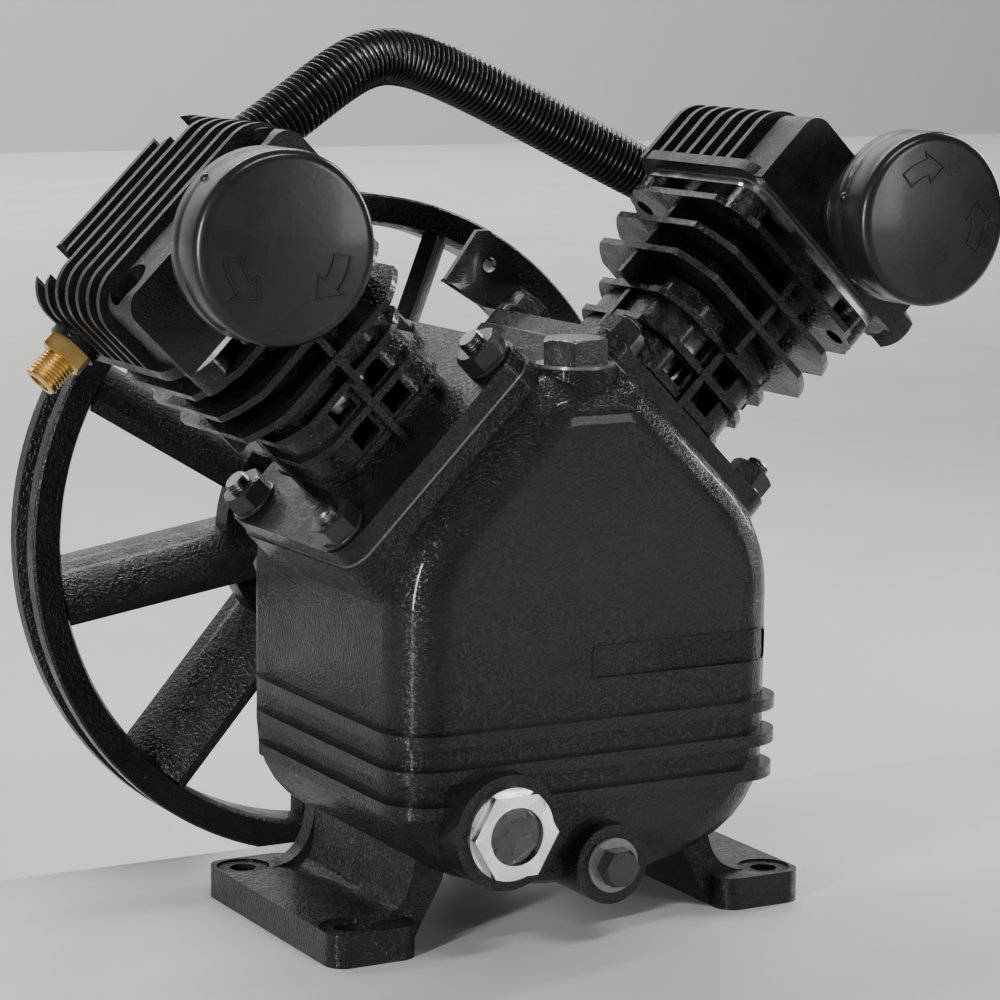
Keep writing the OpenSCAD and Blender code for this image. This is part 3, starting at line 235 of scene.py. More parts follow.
def ridge(bm, path, width, low, high):
    """Closed raised line along a closed flat path; low and high give its foot and crest at a point."""
    count = len(path)
    rows = []
    for k, here in enumerate(path):
        before, after = path[k - 1], path[(k + 1) % count]
        along = ((here - before).normalized() + (after - here).normalized()).normalized()
        side = Vector((-along.y, along.x))
        across = Vector((before.y - here.y, here.x - before.x)).normalized()
        mitre = width / 2 / max(side.dot(across), MITRE_LIMIT)
        foot = [here - side * mitre, here + side * mitre]
        crest = [here + side * mitre * CREST_SHARE, here - side * mitre * CREST_SHARE]
        rows.append([bm.verts.new(low(p)) for p in foot] + [bm.verts.new(high(p)) for p in crest])
    for k in range(count):
        one, two = rows[k], rows[(k + 1) % count]
        for i in range(4):
            bm.faces.new((one[i], one[(i + 1) % 4], two[(i + 1) % 4], two[i]))
    bmesh.ops.recalc_face_normals(bm, faces=bm.faces)


def bank_matrix(side):
    """Places a cylinder's own axes: z runs out from the crank axis."""
    return (Matrix.Translation((0, BANK_MID + side * BANK_STAGGER, CRANK_H))
            @ Matrix.Rotation(side * math.pi / 4, 4, "Y"))


# Shader node groups

def new_group(name, inputs, outputs):
    tree = bpy.data.node_groups.new(name, "ShaderNodeTree")
    for label, kind, value in inputs:
        socket = tree.interface.new_socket(label, in_out="INPUT", socket_type=kind)
        socket.default_value = value
    for label, kind in outputs:
        tree.interface.new_socket(label, in_out="OUTPUT", socket_type=kind)
    return tree, tree.nodes.new("NodeGroupInput"), tree.nodes.new("NodeGroupOutput")


def math_node(tree, operation, a, b=None):
    node = tree.nodes.new("ShaderNodeMath")
    node.operation = operation
    for socket, value in ((node.inputs[0], a), (node.inputs[1], b)):
        if value is None:
            continue
        if isinstance(value, (int, float)):
            socket.default_value = value
        else:
            tree.links.new(value, socket)
    return node.outputs[0]


def noise(tree, vector, scale, detail=2.0, roughness=0.5):
    node = tree.nodes.new("ShaderNodeTexNoise")
    node.inputs["Detail"].default_value = detail
    node.inputs["Roughness"].default_value = roughness
    tree.links.new(vector, node.inputs["Vector"])
    if isinstance(scale, (int, float)):
        node.inputs["Scale"].default_value = scale
    else:
        tree.links.new(scale, node.inputs["Scale"])
    return node.outputs["Fac"]


def spread(tree, value, low, high, to_low=0.0, to_high=1.0):
    node = tree.nodes.new("ShaderNodeMapRange")
    node.interpolation_type = "SMOOTHSTEP"
    tree.links.new(value, node.inputs["Value"])
    node.inputs["From Min"].default_value = low
    node.inputs["From Max"].default_value = high
    node.inputs["To Min"].default_value = to_low
    node.inputs["To Max"].default_value = to_high
    return node.outputs["Result"]


def make_cast_skin():
    """Height and sheen of paint over a sand-cast skin: pebbles, pits and long swells, and a mask of
    painted highlights on the crests of the fine bumps.
    """
    tree, start, end = new_group(
        "CastSkin",
        [("Vector", "NodeSocketVector", (0, 0, 0)), ("Grain", "NodeSocketFloat", 600.0),
         ("Rough Low", "NodeSocketFloat", 0.2), ("Rough High", "NodeSocketFloat", 0.4)],
        [("Height", "NodeSocketFloat"), ("Roughness", "NodeSocketFloat"), ("Dust", "NodeSocketFloat")])
    vector = start.outputs["Vector"]
    grain = start.outputs["Grain"]
    pebble = noise(tree, vector, grain, 2.0, 0.55)
    fine = noise(tree, vector, math_node(tree, "MULTIPLY", grain, 2.7), 1.0)
    swell = noise(tree, vector, math_node(tree, "MULTIPLY", grain, 0.12), 2.0)
    raised = spread(tree, pebble, 0.42, 0.66)
    height = math_node(tree, "ADD", math_node(tree, "MULTIPLY", raised, 0.8),
                       math_node(tree, "MULTIPLY", fine, 0.25))
    height = math_node(tree, "ADD", height, math_node(tree, "MULTIPLY", swell, 0.3))
    tree.links.new(height, end.inputs["Height"])
    mix = tree.nodes.new("ShaderNodeMix")
    mix.data_type = "FLOAT"
    tree.links.new(spread(tree, swell, 0.35, 0.65), mix.inputs[0])
    tree.links.new(start.outputs["Rough Low"], mix.inputs[2])
    tree.links.new(start.outputs["Rough High"], mix.inputs[3])
    tree.links.new(mix.outputs[0], end.inputs["Roughness"])
    # Painted highlight: a mask over the crests of the fine bumps, where the base colour is lightened
    tree.links.new(spread(tree, fine, 0.6, 0.75), end.inputs["Dust"])
    return tree


def make_machined():
    """Fine rings and scratches of a machined or rubbed surface."""
    tree, start, end = new_group(
        "Machined",
        [("Vector", "NodeSocketVector", (0, 0, 0)), ("Scale", "NodeSocketFloat", 900.0)],
        [("Height", "NodeSocketFloat"), ("Roughness", "NodeSocketFloat")])
    vector = start.outputs["Vector"]
    fine = noise(tree, vector, start.outputs["Scale"], 3.0, 0.7)
    broad = noise(tree, vector, math_node(tree, "MULTIPLY", start.outputs["Scale"], 0.08), 2.0)
    tree.links.new(math_node(tree, "ADD", fine, broad), end.inputs["Height"])
    tree.links.new(spread(tree, broad, 0.3, 0.7, 0.18, 0.38), end.inputs["Roughness"])
    return tree


CAST_SKIN = make_cast_skin()
MACHINED = make_machined()


def new_material(name, colour, metallic=0.0, coat=0.0):
    material = bpy.data.materials.new(name)
    material.use_nodes = True
    shader = material.node_tree.nodes["Principled BSDF"]
    shader.inputs["Base Color"].default_value = (*colour, 1)
    shader.inputs["Metallic"].default_value = metallic
    shader.inputs["Coat Weight"].default_value = coat
    shader.inputs["Coat Roughness"].default_value = 0.08
    coords = material.node_tree.nodes.new("ShaderNodeTexCoord")
    return material, shader, coords.outputs["Object"]


def bump(tree, shader, height, distance):
    node = tree.nodes.new("ShaderNodeBump")
    node.inputs["Distance"].default_value = distance
    tree.links.new(height, node.inputs["Height"])
    tree.links.new(node.outputs["Normal"], shader.inputs["Normal"])


def enamel(name, grain, depth, rough_low, rough_high, coat=0.0, crest_sheen=0.0, colour=None):
    """Black paint over a casting, with a painted highlight lightening the base colour on the crests of
    its fine bumps.
    """
    colour = colour or tuple(bpy.context.scene.pump_finish.enamel_colour)
    material, shader, coords = new_material(name, colour, coat=coat)
    shader.inputs["Specular IOR Level"].default_value = 0.2
    tree = material.node_tree
    skin = tree.nodes.new("ShaderNodeGroup")
    skin.node_tree = CAST_SKIN
    tree.links.new(coords, skin.inputs["Vector"])
    skin.inputs["Grain"].default_value = 1 / grain
    skin.inputs["Rough Low"].default_value = rough_low
    skin.inputs["Rough High"].default_value = rough_high
    tree.links.new(skin.outputs["Roughness"], shader.inputs["Roughness"])
    if depth:
        bump(tree, shader, skin.outputs["Height"], depth)
    # Painted highlight: the base colour turns lighter on the crests of the fine bumps
    mix = tree.nodes.new("ShaderNodeMix")
    mix.data_type = "RGBA"
    mix.inputs[6].default_value = (*colour, 1)
    mix.inputs[7].default_value = (*(c + crest_sheen for c in colour), 1)
    tree.links.new(skin.outputs["Dust"], mix.inputs[0])
    tree.links.new(mix.outputs[2], shader.inputs["Base Color"])
    return material


def metal(name, colour, scale=900.0, depth=0.00003, metallic=1.0):
    """Bare machined metal."""
    material, shader, coords = new_material(name, colour, metallic=metallic)
    tree = material.node_tree
    skin = tree.nodes.new("ShaderNodeGroup")
    skin.node_tree = MACHINED
    tree.links.new(coords, skin.inputs["Vector"])
    skin.inputs["Scale"].default_value = scale
    tree.links.new(skin.outputs["Roughness"], shader.inputs["Roughness"])
    bump(tree, shader, skin.outputs["Height"], depth)
    return material


def make_materials():
    finish = bpy.context.scene.pump_finish
    low = finish.enamel_roughness
    grain = finish.cast_grain
    depth = finish.cast_depth
    # Each enamel's lightening of the crests of its fine bumps is a painted highlight
    made = {
        "case": enamel("CrankcaseEnamel", grain, depth * 1.9, low, low + 0.1, coat=0.12, crest_sheen=0.006),
        "fins": enamel("CylinderEnamel", grain * 1.2, depth * 0.6, low + 0.02, low + 0.2,
                       coat=0.12, crest_sheen=0.003),
        "head": enamel("HeadPaint", grain * 0.8, depth * 0.3, low + 0.12, low + 0.3, crest_sheen=0.003),
        "wheel": enamel("FlywheelEnamel", grain * 1.3, depth * 0.6, low + 0.1, low + 0.25,
                        coat=0.05, crest_sheen=0.003),
        "hardware": enamel("FastenerBlack", grain, depth * 0.2, 0.16, 0.3,
                           coat=0.25, colour=(0.012, 0.012, 0.013)),
        "cap": enamel("FilterMoulding", grain * 2, depth * 0.03, 0.24, 0.32,
                      coat=0.1, colour=(0.008, 0.008, 0.008)),
        "hose": enamel("HoseSleeve", grain, depth * 0.1, 0.2, 0.32,
                       coat=0.2, colour=(0.006, 0.006, 0.006)),
        "rubber": enamel("SealRubber", grain, depth * 0.1, 0.5, 0.7, colour=(0.03, 0.022, 0.02)),
        "felt": enamel("FilterFelt", grain * 0.6, depth, 0.8, 0.95, colour=(0.55, 0.52, 0.44)),
        "gasket": metal("GasketSheet", (0.1, 0.1, 0.1), 700.0, metallic=0.4),
        "steel": metal("MachinedSteel", (0.5, 0.5, 0.52)),
        "iron": metal("MachinedIron", (0.16, 0.16, 0.17), 600.0),
        "alloy": metal("DieCastAlloy", (0.5, 0.51, 0.52), 400.0, 0.00008),
        "bright": metal("TurnedAlloy", (0.6, 0.61, 0.63), 1200.0, 0.00002),
        "brass": metal("TurnedBrass", (0.62, 0.4, 0.13), 1000.0),
        "plate": metal("SightPlate", (0.8, 0.8, 0.78), 400.0, metallic=0.0),
    }
    window, shader, coords = new_material("SightWindow", (0.86, 0.88, 0.9))
    shader.inputs["Transmission Weight"].default_value = 1
    shader.inputs["IOR"].default_value = 1.49
    tree = window.node_tree
    clear = spread(tree, noise(tree, coords, 300.0), 0.3, 0.7, 0.01, 0.04)
    tree.links.new(clear, shader.inputs["Roughness"])
    made["window"] = window
    return made


MATERIALS = {}


# Castings

# Front of the crankcase: its face, half the width of its flat and the rounding beside it
CASE_FRONT = 76 * MM
CASE_FLAT = 66 * MM
CASE_ROUND = 20 * MM

# Blank field on that front: middle, half its size, its corners and the line round it
FIELD_X, FIELD_Z = 39 * MM, 114.5 * MM
FIELD_HALF_X, FIELD_HALF_Z = 84 * MM / 2, 13 * MM / 2
FIELD_ROUND = 2.5 * MM
FIELD_LINE = 1.3 * MM
FIELD_RISE = 0.7 * MM
FIELD_BED = 1.2 * MM
FIELD_STEP = 3 * MM
FIELD_CORNERS = ((1, 1, 0), (-1, 1, 90), (-1, -1, 180), (1, -1, 270))
CORNER_STEPS = 4


def field_line():
    """Raised line round the blank field on the crankcase front, following its rounded edge."""
    def front(p, out):
        over = max(p.x - CASE_FLAT, 0)
        bend = CASE_ROUND - math.sqrt(CASE_ROUND ** 2 - over ** 2)
        return (p.x, bend - CASE_FRONT - out, p.y)

    path = []
    for sx, sz, begin in FIELD_CORNERS:
        x = FIELD_X + sx * (FIELD_HALF_X - FIELD_ROUND)
        z = FIELD_Z + sz * (FIELD_HALF_Z - FIELD_ROUND)
        for i in range(CORNER_STEPS + 1):
            a = math.radians(begin + i * 90 / CORNER_STEPS)
            path.append(Vector((x + FIELD_ROUND * math.cos(a), z + FIELD_ROUND * math.sin(a))))
    fine = []
    for k, here in enumerate(path):
        after = path[(k + 1) % len(path)]
        steps = max(1, int((after - here).length / FIELD_STEP))
        fine += [here.lerp(after, i / steps) for i in range(steps)]
    bm = bmesh.new()
    ridge(bm, fine, FIELD_LINE, lambda p: front(p, -FIELD_BED), lambda p: front(p, FIELD_RISE))
    return smooth(mesh_object("crankcase_field_line", bm), angle=60)


class CastingsOperator(bpy.types.Operator):
    """Dress the castings: crankcase, rear cover, cylinders, heads and flywheel"""
    bl_idname = "pump.castings"
    bl_label = "Castings"

    def execute(self, context):
        width = context.scene.pump_finish.edge_round
        dress("crankcase", "crankcase_casting", width * 1.2, "case", "cast_body", segments=3, limit=28)
        finish_piece(field_line(), "pump_body", MATERIALS["case"], slot="cast_body")
        dress("rear_cover", "rear_cover_casting", width, "case", "cast_body")
        for _, name in SIDES:
            dress(f"cylinder_{name}", f"cylinder_casting_{name}", width * 0.8, "fins", "cast_fins")
            dress(f"head_{name}", f"head_casting_{name}", width, "head", "cast_head")
        dress("flywheel", "flywheel_casting", width, "wheel", "cast_body", body="rotor")
        return {"FINISHED"}


# Intake filters

# Middle of a lid's face in a cylinder's own axes
FILTER_REACH = 102 * MM
FILTER_OUT = 213 * MM

# A lid's radii and depths in millimetres, the bumps of its lock, and the rounding of its housing
LID_SIDES = 96
LID_SHAPE = ((0.05, 0.75), (31.0, 0.75), (32.4, 0.9), (33.5, 1.3), (34.4, 2.0),
             (35.2, 3.0), (35.5, 4.8), (35.5, 15.6), (35.2, 16.4), (35.2, 17.4), (35.5, 18.2),
             (35.5, 23.4), (35.1, 24.0), (34.0, 24.0), (34.0, 2.0), (0.05, 2.0))
LOCK_BUMP_AT = (34.4 * MM, 0, 17.4 * MM)
LOCK_BUMP_R = 2.2 * MM
LOCK_BUMP_ANGLES = (150, 270, 390)
HOUSING_EDGE = 0.6 * MM

# The left lid is locked with its arrows upright, the right one part of a turn further round
LID_TURN = {-1: 0.0, 1: math.radians(-140)}

# Arrows on a lid: start, barbs and tip of their bend, and radii in millimetres
ARROW_START, ARROW_BARBS, ARROW_END = (math.radians(a) for a in (-8, -38, -58))
ARROW_SHAFT = (18.5, 25)
ARROW_HEAD = (15.5, 28)
ARROW_TIP = 21.5
ARROW_STEPS = 8
ARROW_LINE = 0.9 * MM
ARROW_FOOT = 1.1 * MM
ARROW_CREST = 0.1 * MM


def cap_matrix(side):
    """Filter cap's own axes: z runs rearward from the middle of its face."""
    return (bank_matrix(side) @ Matrix.Translation((0, -FILTER_REACH, FILTER_OUT))
            @ Matrix.Rotation(-math.pi / 2, 4, "X"))


def turn_arrow(sign):
    """Outline of a block arrow bent round a lid's middle, pointing down on one side."""
    arc = [ARROW_START + (ARROW_BARBS - ARROW_START) * i / ARROW_STEPS for i in range(ARROW_STEPS + 1)]
    corners = [(ARROW_SHAFT[1], a) for a in arc]
    corners += [(ARROW_HEAD[1], ARROW_BARBS), (ARROW_TIP, ARROW_END), (ARROW_HEAD[0], ARROW_BARBS)]
    corners += [(ARROW_SHAFT[0], a) for a in reversed(arc)]
    return [Vector((sign * r * math.cos(a) * MM, r * math.sin(a) * MM)) for r, a in corners]


def filter_lid(side, name):
    """Lid with its grip, its lock bumps and two arrows, set on its housing."""
    bm = bmesh.new()
    turned(bm, [(r * MM, z * MM) for r, z in LID_SHAPE], LID_SIDES)
    upright = cap_matrix(side).to_3x3().inverted() @ Matrix.Rotation(LID_TURN[side], 3, "Y")
    right, up = upright @ Vector((1, 0, 0)), upright @ Vector((0, 0, 1))
    for sign in (-1, 1):
        path = [(right * p.x + up * p.y).to_2d() for p in turn_arrow(sign)]
        ridge(bm, path, ARROW_LINE, lambda p: (p.x, p.y, ARROW_FOOT), lambda p: (p.x, p.y, ARROW_CREST))
    for angle in LOCK_BUMP_ANGLES:
        place = Matrix.Rotation(math.radians(angle), 4, "Z") @ Matrix.Translation(LOCK_BUMP_AT)
        bmesh.ops.create_uvsphere(bm, u_segments=16, v_segments=10, radius=LOCK_BUMP_R, matrix=place)
    lid = mesh_object(name, bm)
    lid.data.transform(cap_matrix(side))
    return smooth(lid, angle=34)


class FiltersOperator(bpy.types.Operator):
    """Make the intake filters' lids and dress their housings"""
    bl_idname = "pump.filters"
    bl_label = "Intake filters"

    def execute(self, context):
        for side, name in SIDES:
            finish_piece(filter_lid(side, f"filter_lid_{name}"), f"{name}_filter_cap", MATERIALS["cap"],
                         f"filter_cap_{name}", slot="black_plastic")
            dress(f"filter_base_{name}", f"filter_housing_{name}", HOUSING_EDGE, "cap", "black_plastic")
        return {"FINISHED"}


# Fasteners

# In a cylinder's own axes: base studs, head bolts, and the threaded ports in a head's side
STUD_X, STUD_Y, FLANGE_TOP = 44.4 * MM, 40.5 * MM, 95 * MM
BRACKET_THICKNESS = 3 * MM
HEAD_BOLT_XY, BOLT_SEAT = 36 * MM, 208 * MM
PORT_X, PORT_Z = 54 * MM, 199 * MM
OUTLET_Y, SPARE_PORT_Y = 36 * MM, -27.3 * MM

# Behind the crankcase: ring of cover bolts, and seats along the crank axis
COVER_BOLT_R, COVER_BOLT_SEAT = 70 * MM, 74.5 * MM
COVER_BOLT_ANGLES = [math.radians(30 + 60 * i) for i in range(6)]
WHEEL_BOLT_SEAT = 184 * MM

# Plugs and sight glass on the crankcase
DRAIN_AT = (3 * MM, -83 * MM, 34 * MM)
FILLER_AT = (0, -54 * MM, 230.7 * MM)
SIGHT_AT = (-46 * MM, -87 * MM, 53.5 * MM)

# Washers under the hexagons: thickness and height of the bevels, in millimetres
WASHER_THICKNESS, WASHER_EDGE = 1.6, 0.4
FASTENER_CREASE = 25
STEEL_EDGE = 0.5 * MM


def plain_hex(af, low, high, chamfer_low=False):
    """Returns a function that makes a hexagon; sizes in millimetres."""
    return lambda bm: hex_block(bm, af * MM, low * MM, high * MM, chamfer_low)


def washer_hex(face_r, washer_r, af, top):
    """Returns a function that makes a hexagon on its washer; sizes in millimetres."""
    def make(bm):
        shape = ((face_r, 0), (washer_r, WASHER_EDGE), (washer_r, WASHER_THICKNESS - WASHER_EDGE),
                 (face_r, WASHER_THICKNESS))
        turned(bm, [(r * MM, z * MM) for r, z in shape])
        hex_block(bm, af * MM, WASHER_THICKNESS * MM, top * MM)
    return make


BASE_NUT = washer_hex(9.6, 10, 17, 9.6)
HEAD_BOLT = washer_hex(7.7, 8, 13, 9.6)
COVER_BOLT = washer_hex(7.7, 8, 13, 7.1)


def stud_end(bm):
    """Threaded end of a base stud above its nut."""
    radius, foot, tip = 4.9 * MM, 9 * MM, 13.6 * MM
    turned(bm, thread_profile(radius, foot, tip), 32)


def union_nose(bm):
    """Hexagon with a threaded end, which is open to its bore."""
    af, hex_top = 17 * MM, 7 * MM
    radius, foot, tip, pitch = 7.14 * MM, 6.5 * MM, 19 * MM, 1.5 * MM
    bore_r, bore_end = 4.5 * MM, 9 * MM
    hex_block(bm, af, 0, hex_top)
    turned(bm, thread_profile(radius, foot, tip, pitch) + [(bore_r, tip), (bore_r, bore_end)])


def single(name, make_piece, matrix):
    bm = bmesh.new()
    make_piece(bm)
    obj = mesh_object(name, bm)
    obj.data.transform(matrix)
    return smooth(obj, FASTENER_CREASE)


def facing_front(place):
    """Axes with z running forward out of the crankcase front."""
    return Matrix.Translation(place) @ Matrix.Rotation(math.pi / 2, 4, "X")


def facing_back(y):
    """Axes round the crank axis with z running rearward."""
    return Matrix.Translation((0, y, CRANK_H)) @ Matrix.Rotation(-math.pi / 2, 4, "X")


def side_port(side, y):
    """Axes with z running out of a threaded port in a head's side."""
    return (bank_matrix(side) @ Matrix.Translation((side * PORT_X, y, PORT_Z))
            @ Matrix.Rotation(side * math.pi / 2, 4, "Y"))


def four_places(x, y, z):
    return [(sx * x, sy * y, z) for sx in (-1, 1) for sy in (-1, 1)]


class FastenersOperator(bpy.types.Operator):
    """Make the nuts, stud ends, bolts and plugs"""
    bl_idname = "pump.fasteners"
    bl_label = "Fasteners"

    def execute(self, context):
        black = MATERIALS["hardware"]
        for side, name in SIDES:
            bank = bank_matrix(side)
            studs = four_places(STUD_X, STUD_Y, FLANGE_TOP)
            # The bracket's ear lifts one nut of the right cylinder
            seats = [(x, y, z + (BRACKET_THICKNESS if side > 0 and x < 0 < y else 0))
                     for x, y, z in studs]
            nuts = fastener_set(f"base_nuts_{name}", seats, BASE_NUT, bank, black,
                                turn=1.0, seed=5 + side)
            finish_piece(nuts, "pump_body", black, f"cylinder_studs_{name}", slot="black_hardware")
            ends = fastener_set(f"base_stud_ends_{name}", studs, stud_end, bank, MATERIALS["iron"])
            finish_piece(ends, "pump_body", MATERIALS["iron"], f"cylinder_studs_{name}", slot="iron")
            bolts = fastener_set(f"head_bolt_heads_{name}",
                                 four_places(HEAD_BOLT_XY, HEAD_BOLT_XY, BOLT_SEAT),
                                 HEAD_BOLT, bank, black, turn=1.0, seed=9 + side)
            finish_piece(bolts, "pump_body", black, f"head_bolts_{name}", slot="black_hardware")
            rising = Matrix.Rotation(-side * (math.pi / 2 - HOSE_RISE[side]), 4, "Y")
            union = single(f"hose_union_{name}", plain_hex(24, 18, 30, chamfer_low=True),
                           Matrix.Translation(hose_end(side, 0)) @ rising)
            finish_piece(union, "pump_body", black, f"hose_nut_{name}", slot="black_hardware")
            dress(f"hose_elbow_{name}", f"hose_elbow_{name}_piece", STEEL_EDGE,
                  "hardware", "black_hardware")
        ring = [(COVER_BOLT_R * math.sin(a), -COVER_BOLT_R * math.cos(a), 0) for a in COVER_BOLT_ANGLES]
        cover = fastener_set("rear_cover_bolt_heads", ring, COVER_BOLT, facing_back(COVER_BOLT_SEAT),
                             black, turn=1.0, seed=21)
        finish_piece(cover, "pump_body", black, "rear_cover_bolts", slot="black_hardware")
        wheel_bolt = single("flywheel_bolt_head", plain_hex(19, 0, 8), facing_back(WHEEL_BOLT_SEAT))
        finish_piece(wheel_bolt, "rotor", MATERIALS["steel"], "flywheel_bolt", slot="steel")
        for name, node, shape, matrix in (
                ("drain_plug_hex", "drain_plug", plain_hex(14, 1.5, 8.5), facing_front(DRAIN_AT)),
                ("filler_plug_hex", "filler_plug", plain_hex(25, 0, 10), Matrix.Translation(FILLER_AT)),
                ("spare_port_plug", "outlet_plug", plain_hex(17, 0, 9), side_port(1, SPARE_PORT_Y))):
            finish_piece(single(name, shape, matrix), "pump_body", black, node, slot="black_hardware")
        nose = single("outlet_union", union_nose, side_port(-1, OUTLET_Y))
        finish_piece(nose, "pump_body", MATERIALS["brass"], "outlet_fitting", slot="brass")
        dress("guard_bracket", "guard_bracket_sheet", STEEL_EDGE, "hardware", "black_hardware")
        return {"FINISHED"}


# Sight glass

NUT_EDGE = 0.7 * MM
WINDOW_EDGE = 0.5 * MM

# Plate behind the window: its radius swells once for each lobe
PLATE_R = 7.0 * MM
PLATE_LOBE = 1.9 * MM
PLATE_LOBES = 4
PLATE_LOW, PLATE_HIGH = -1.6 * MM, -0.4 * MM
PLATE_SIDES = 72


class SightGlassOperator(bpy.types.Operator):
    """Dress the sight glass and set the plate behind its window"""
    bl_idname = "pump.sight_glass"
    bl_label = "Sight glass"

    def execute(self, context):
        dress("sight_glass_body", "sight_glass_nut", NUT_EDGE, "bright", "bright_aluminium", segments=3)
        dress("sight_glass_lens", "sight_glass_window", WINDOW_EDGE, "window", "glass")
        bm = bmesh.new()
        turns = [2 * math.pi * k / PLATE_SIDES for k in range(PLATE_SIDES)]
        edge = [PLATE_R + PLATE_LOBE * math.cos(PLATE_LOBES * t) for t in turns]
        ring_skin(bm, [[(r * math.cos(t), r * math.sin(t), z) for r, t in zip(edge, turns)]
                       for z in (PLATE_LOW, PLATE_HIGH)])
        plate = mesh_object("sight_glass_plate", bm)
        plate.data.transform(facing_front(SIGHT_AT))
        finish_piece(smooth(plate, angle=30), "pump_body", MATERIALS["plate"], slot="bright_aluminium")
        return {"FINISHED"}


# Parts inside

class InnerPartsOperator(bpy.types.Operator):
    """Give the parts inside their machined finishes"""
    bl_idname = "pump.inner_parts"
    bl_label = "Inner parts"

    def execute(self, context):
        finishes = {
            "steel": ("inner_bearing", "outer_bearing", "flywheel_key", "flywheel_washer",
                      "flywheel_bolt", "valve_plate_left", "valve_plate_right", "wrist_pin_left",
                      "wrist_pin_right", "oil_dipper", "crank_pin"),
            "gasket": ("rear_cover_gasket", "cylinder_gasket_left", "cylinder_gasket_right",
                       "head_gasket_left", "head_gasket_right", "drain_washer", "filler_washer"),
            "iron": ("crankshaft", "piston_rings_left", "piston_rings_right"),
            "alloy": ("conrod_left", "conrod_right", "piston_left", "piston_right"),
            "rubber": ("shaft_seal",),
            "felt": ("filter_element_left", "filter_element_right"),
        }
        for finish, nodes in finishes.items():
            for node in nodes:
                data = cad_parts[node].data
                data.materials.clear()
                data.materials.append(MATERIALS[finish])
        return {"FINISHED"}


# Hose route

# Ports in the elbows: out from the crank axis along a cylinder, and behind its middle
HOSE_PORT = (205 / ROOT2) * MM
HOSE_BACK = 66 * MM
ELBOW_RUN = 30.1 * MM
HOSE_STRAIGHT = 24 * MM
# How far each end pulls the arch along its own line, and how steeply that line rises
HOSE_PULL = {-1: 95 * MM, 1: 150 * MM}
HOSE_RISE = {-1: math.radians(31), 1: math.radians(25)}


def hose_end(side, run):
    """Point on the line out of a port, at a run along it."""
    rise = HOSE_RISE[side]
    return Vector((side * (HOSE_PORT - run * math.cos(rise)), BANK_MID + side * BANK_STAGGER + HOSE_BACK,
                   CRANK_H + HOSE_PORT + run * math.sin(rise)))


def hose_route(steps=300, straight_steps=40, arch_steps=1200):
    """Points of the hose's middle line: straight ends and one smooth arch, evenly spaced."""
    reach = ELBOW_RUN + HOSE_STRAIGHT
    ends = {side: hose_end(side, reach) for side in (-1, 1)}
    pulls = {side: hose_end(side, reach + HOSE_PULL[side]) for side in (-1, 1)}
    share = [i / straight_steps for i in range(straight_steps)]
    raw = [hose_end(-1, ELBOW_RUN + HOSE_STRAIGHT * f) for f in share]
    for i in range(arch_steps + 1):
        t = i / arch_steps
        raw.append((1 - t) ** 3 * ends[-1] + 3 * t * (1 - t) ** 2 * pulls[-1]
                   + 3 * t * t * (1 - t) * pulls[1] + t ** 3 * ends[1])
    raw += [hose_end(1, ELBOW_RUN + HOSE_STRAIGHT * f) for f in reversed(share)]
    run = [0.0]
    for a, b in zip(raw, raw[1:]):
        run.append(run[-1] + (b - a).length)
    points = []
    j = 0
    for i in range(steps + 1):
        s = run[-1] * i / steps
        while j < len(run) - 2 and run[j + 1] < s:
            j += 1
        f = (s - run[j]) / max(run[j + 1] - run[j], 1e-9)
        points.append(raw[j].lerp(raw[j + 1], min(max(f, 0), 1)))
    return points


# Geometry node groups

def geometry_tree(name, inputs):
    tree = bpy.data.node_groups.new(name, "GeometryNodeTree")
    tree.interface.new_socket("Geometry", in_out="INPUT", socket_type="NodeSocketGeometry")
    ids = {}
    for label, kind, value in inputs:
        socket = tree.interface.new_socket(label, in_out="INPUT", socket_type=kind)
        if value is not None:
            socket.default_value = value
        ids[label] = socket.identifier
    tree.interface.new_socket("Geometry", in_out="OUTPUT", socket_type="NodeSocketGeometry")
    return tree, ids, tree.nodes.new("NodeGroupInput"), tree.nodes.new("NodeGroupOutput")


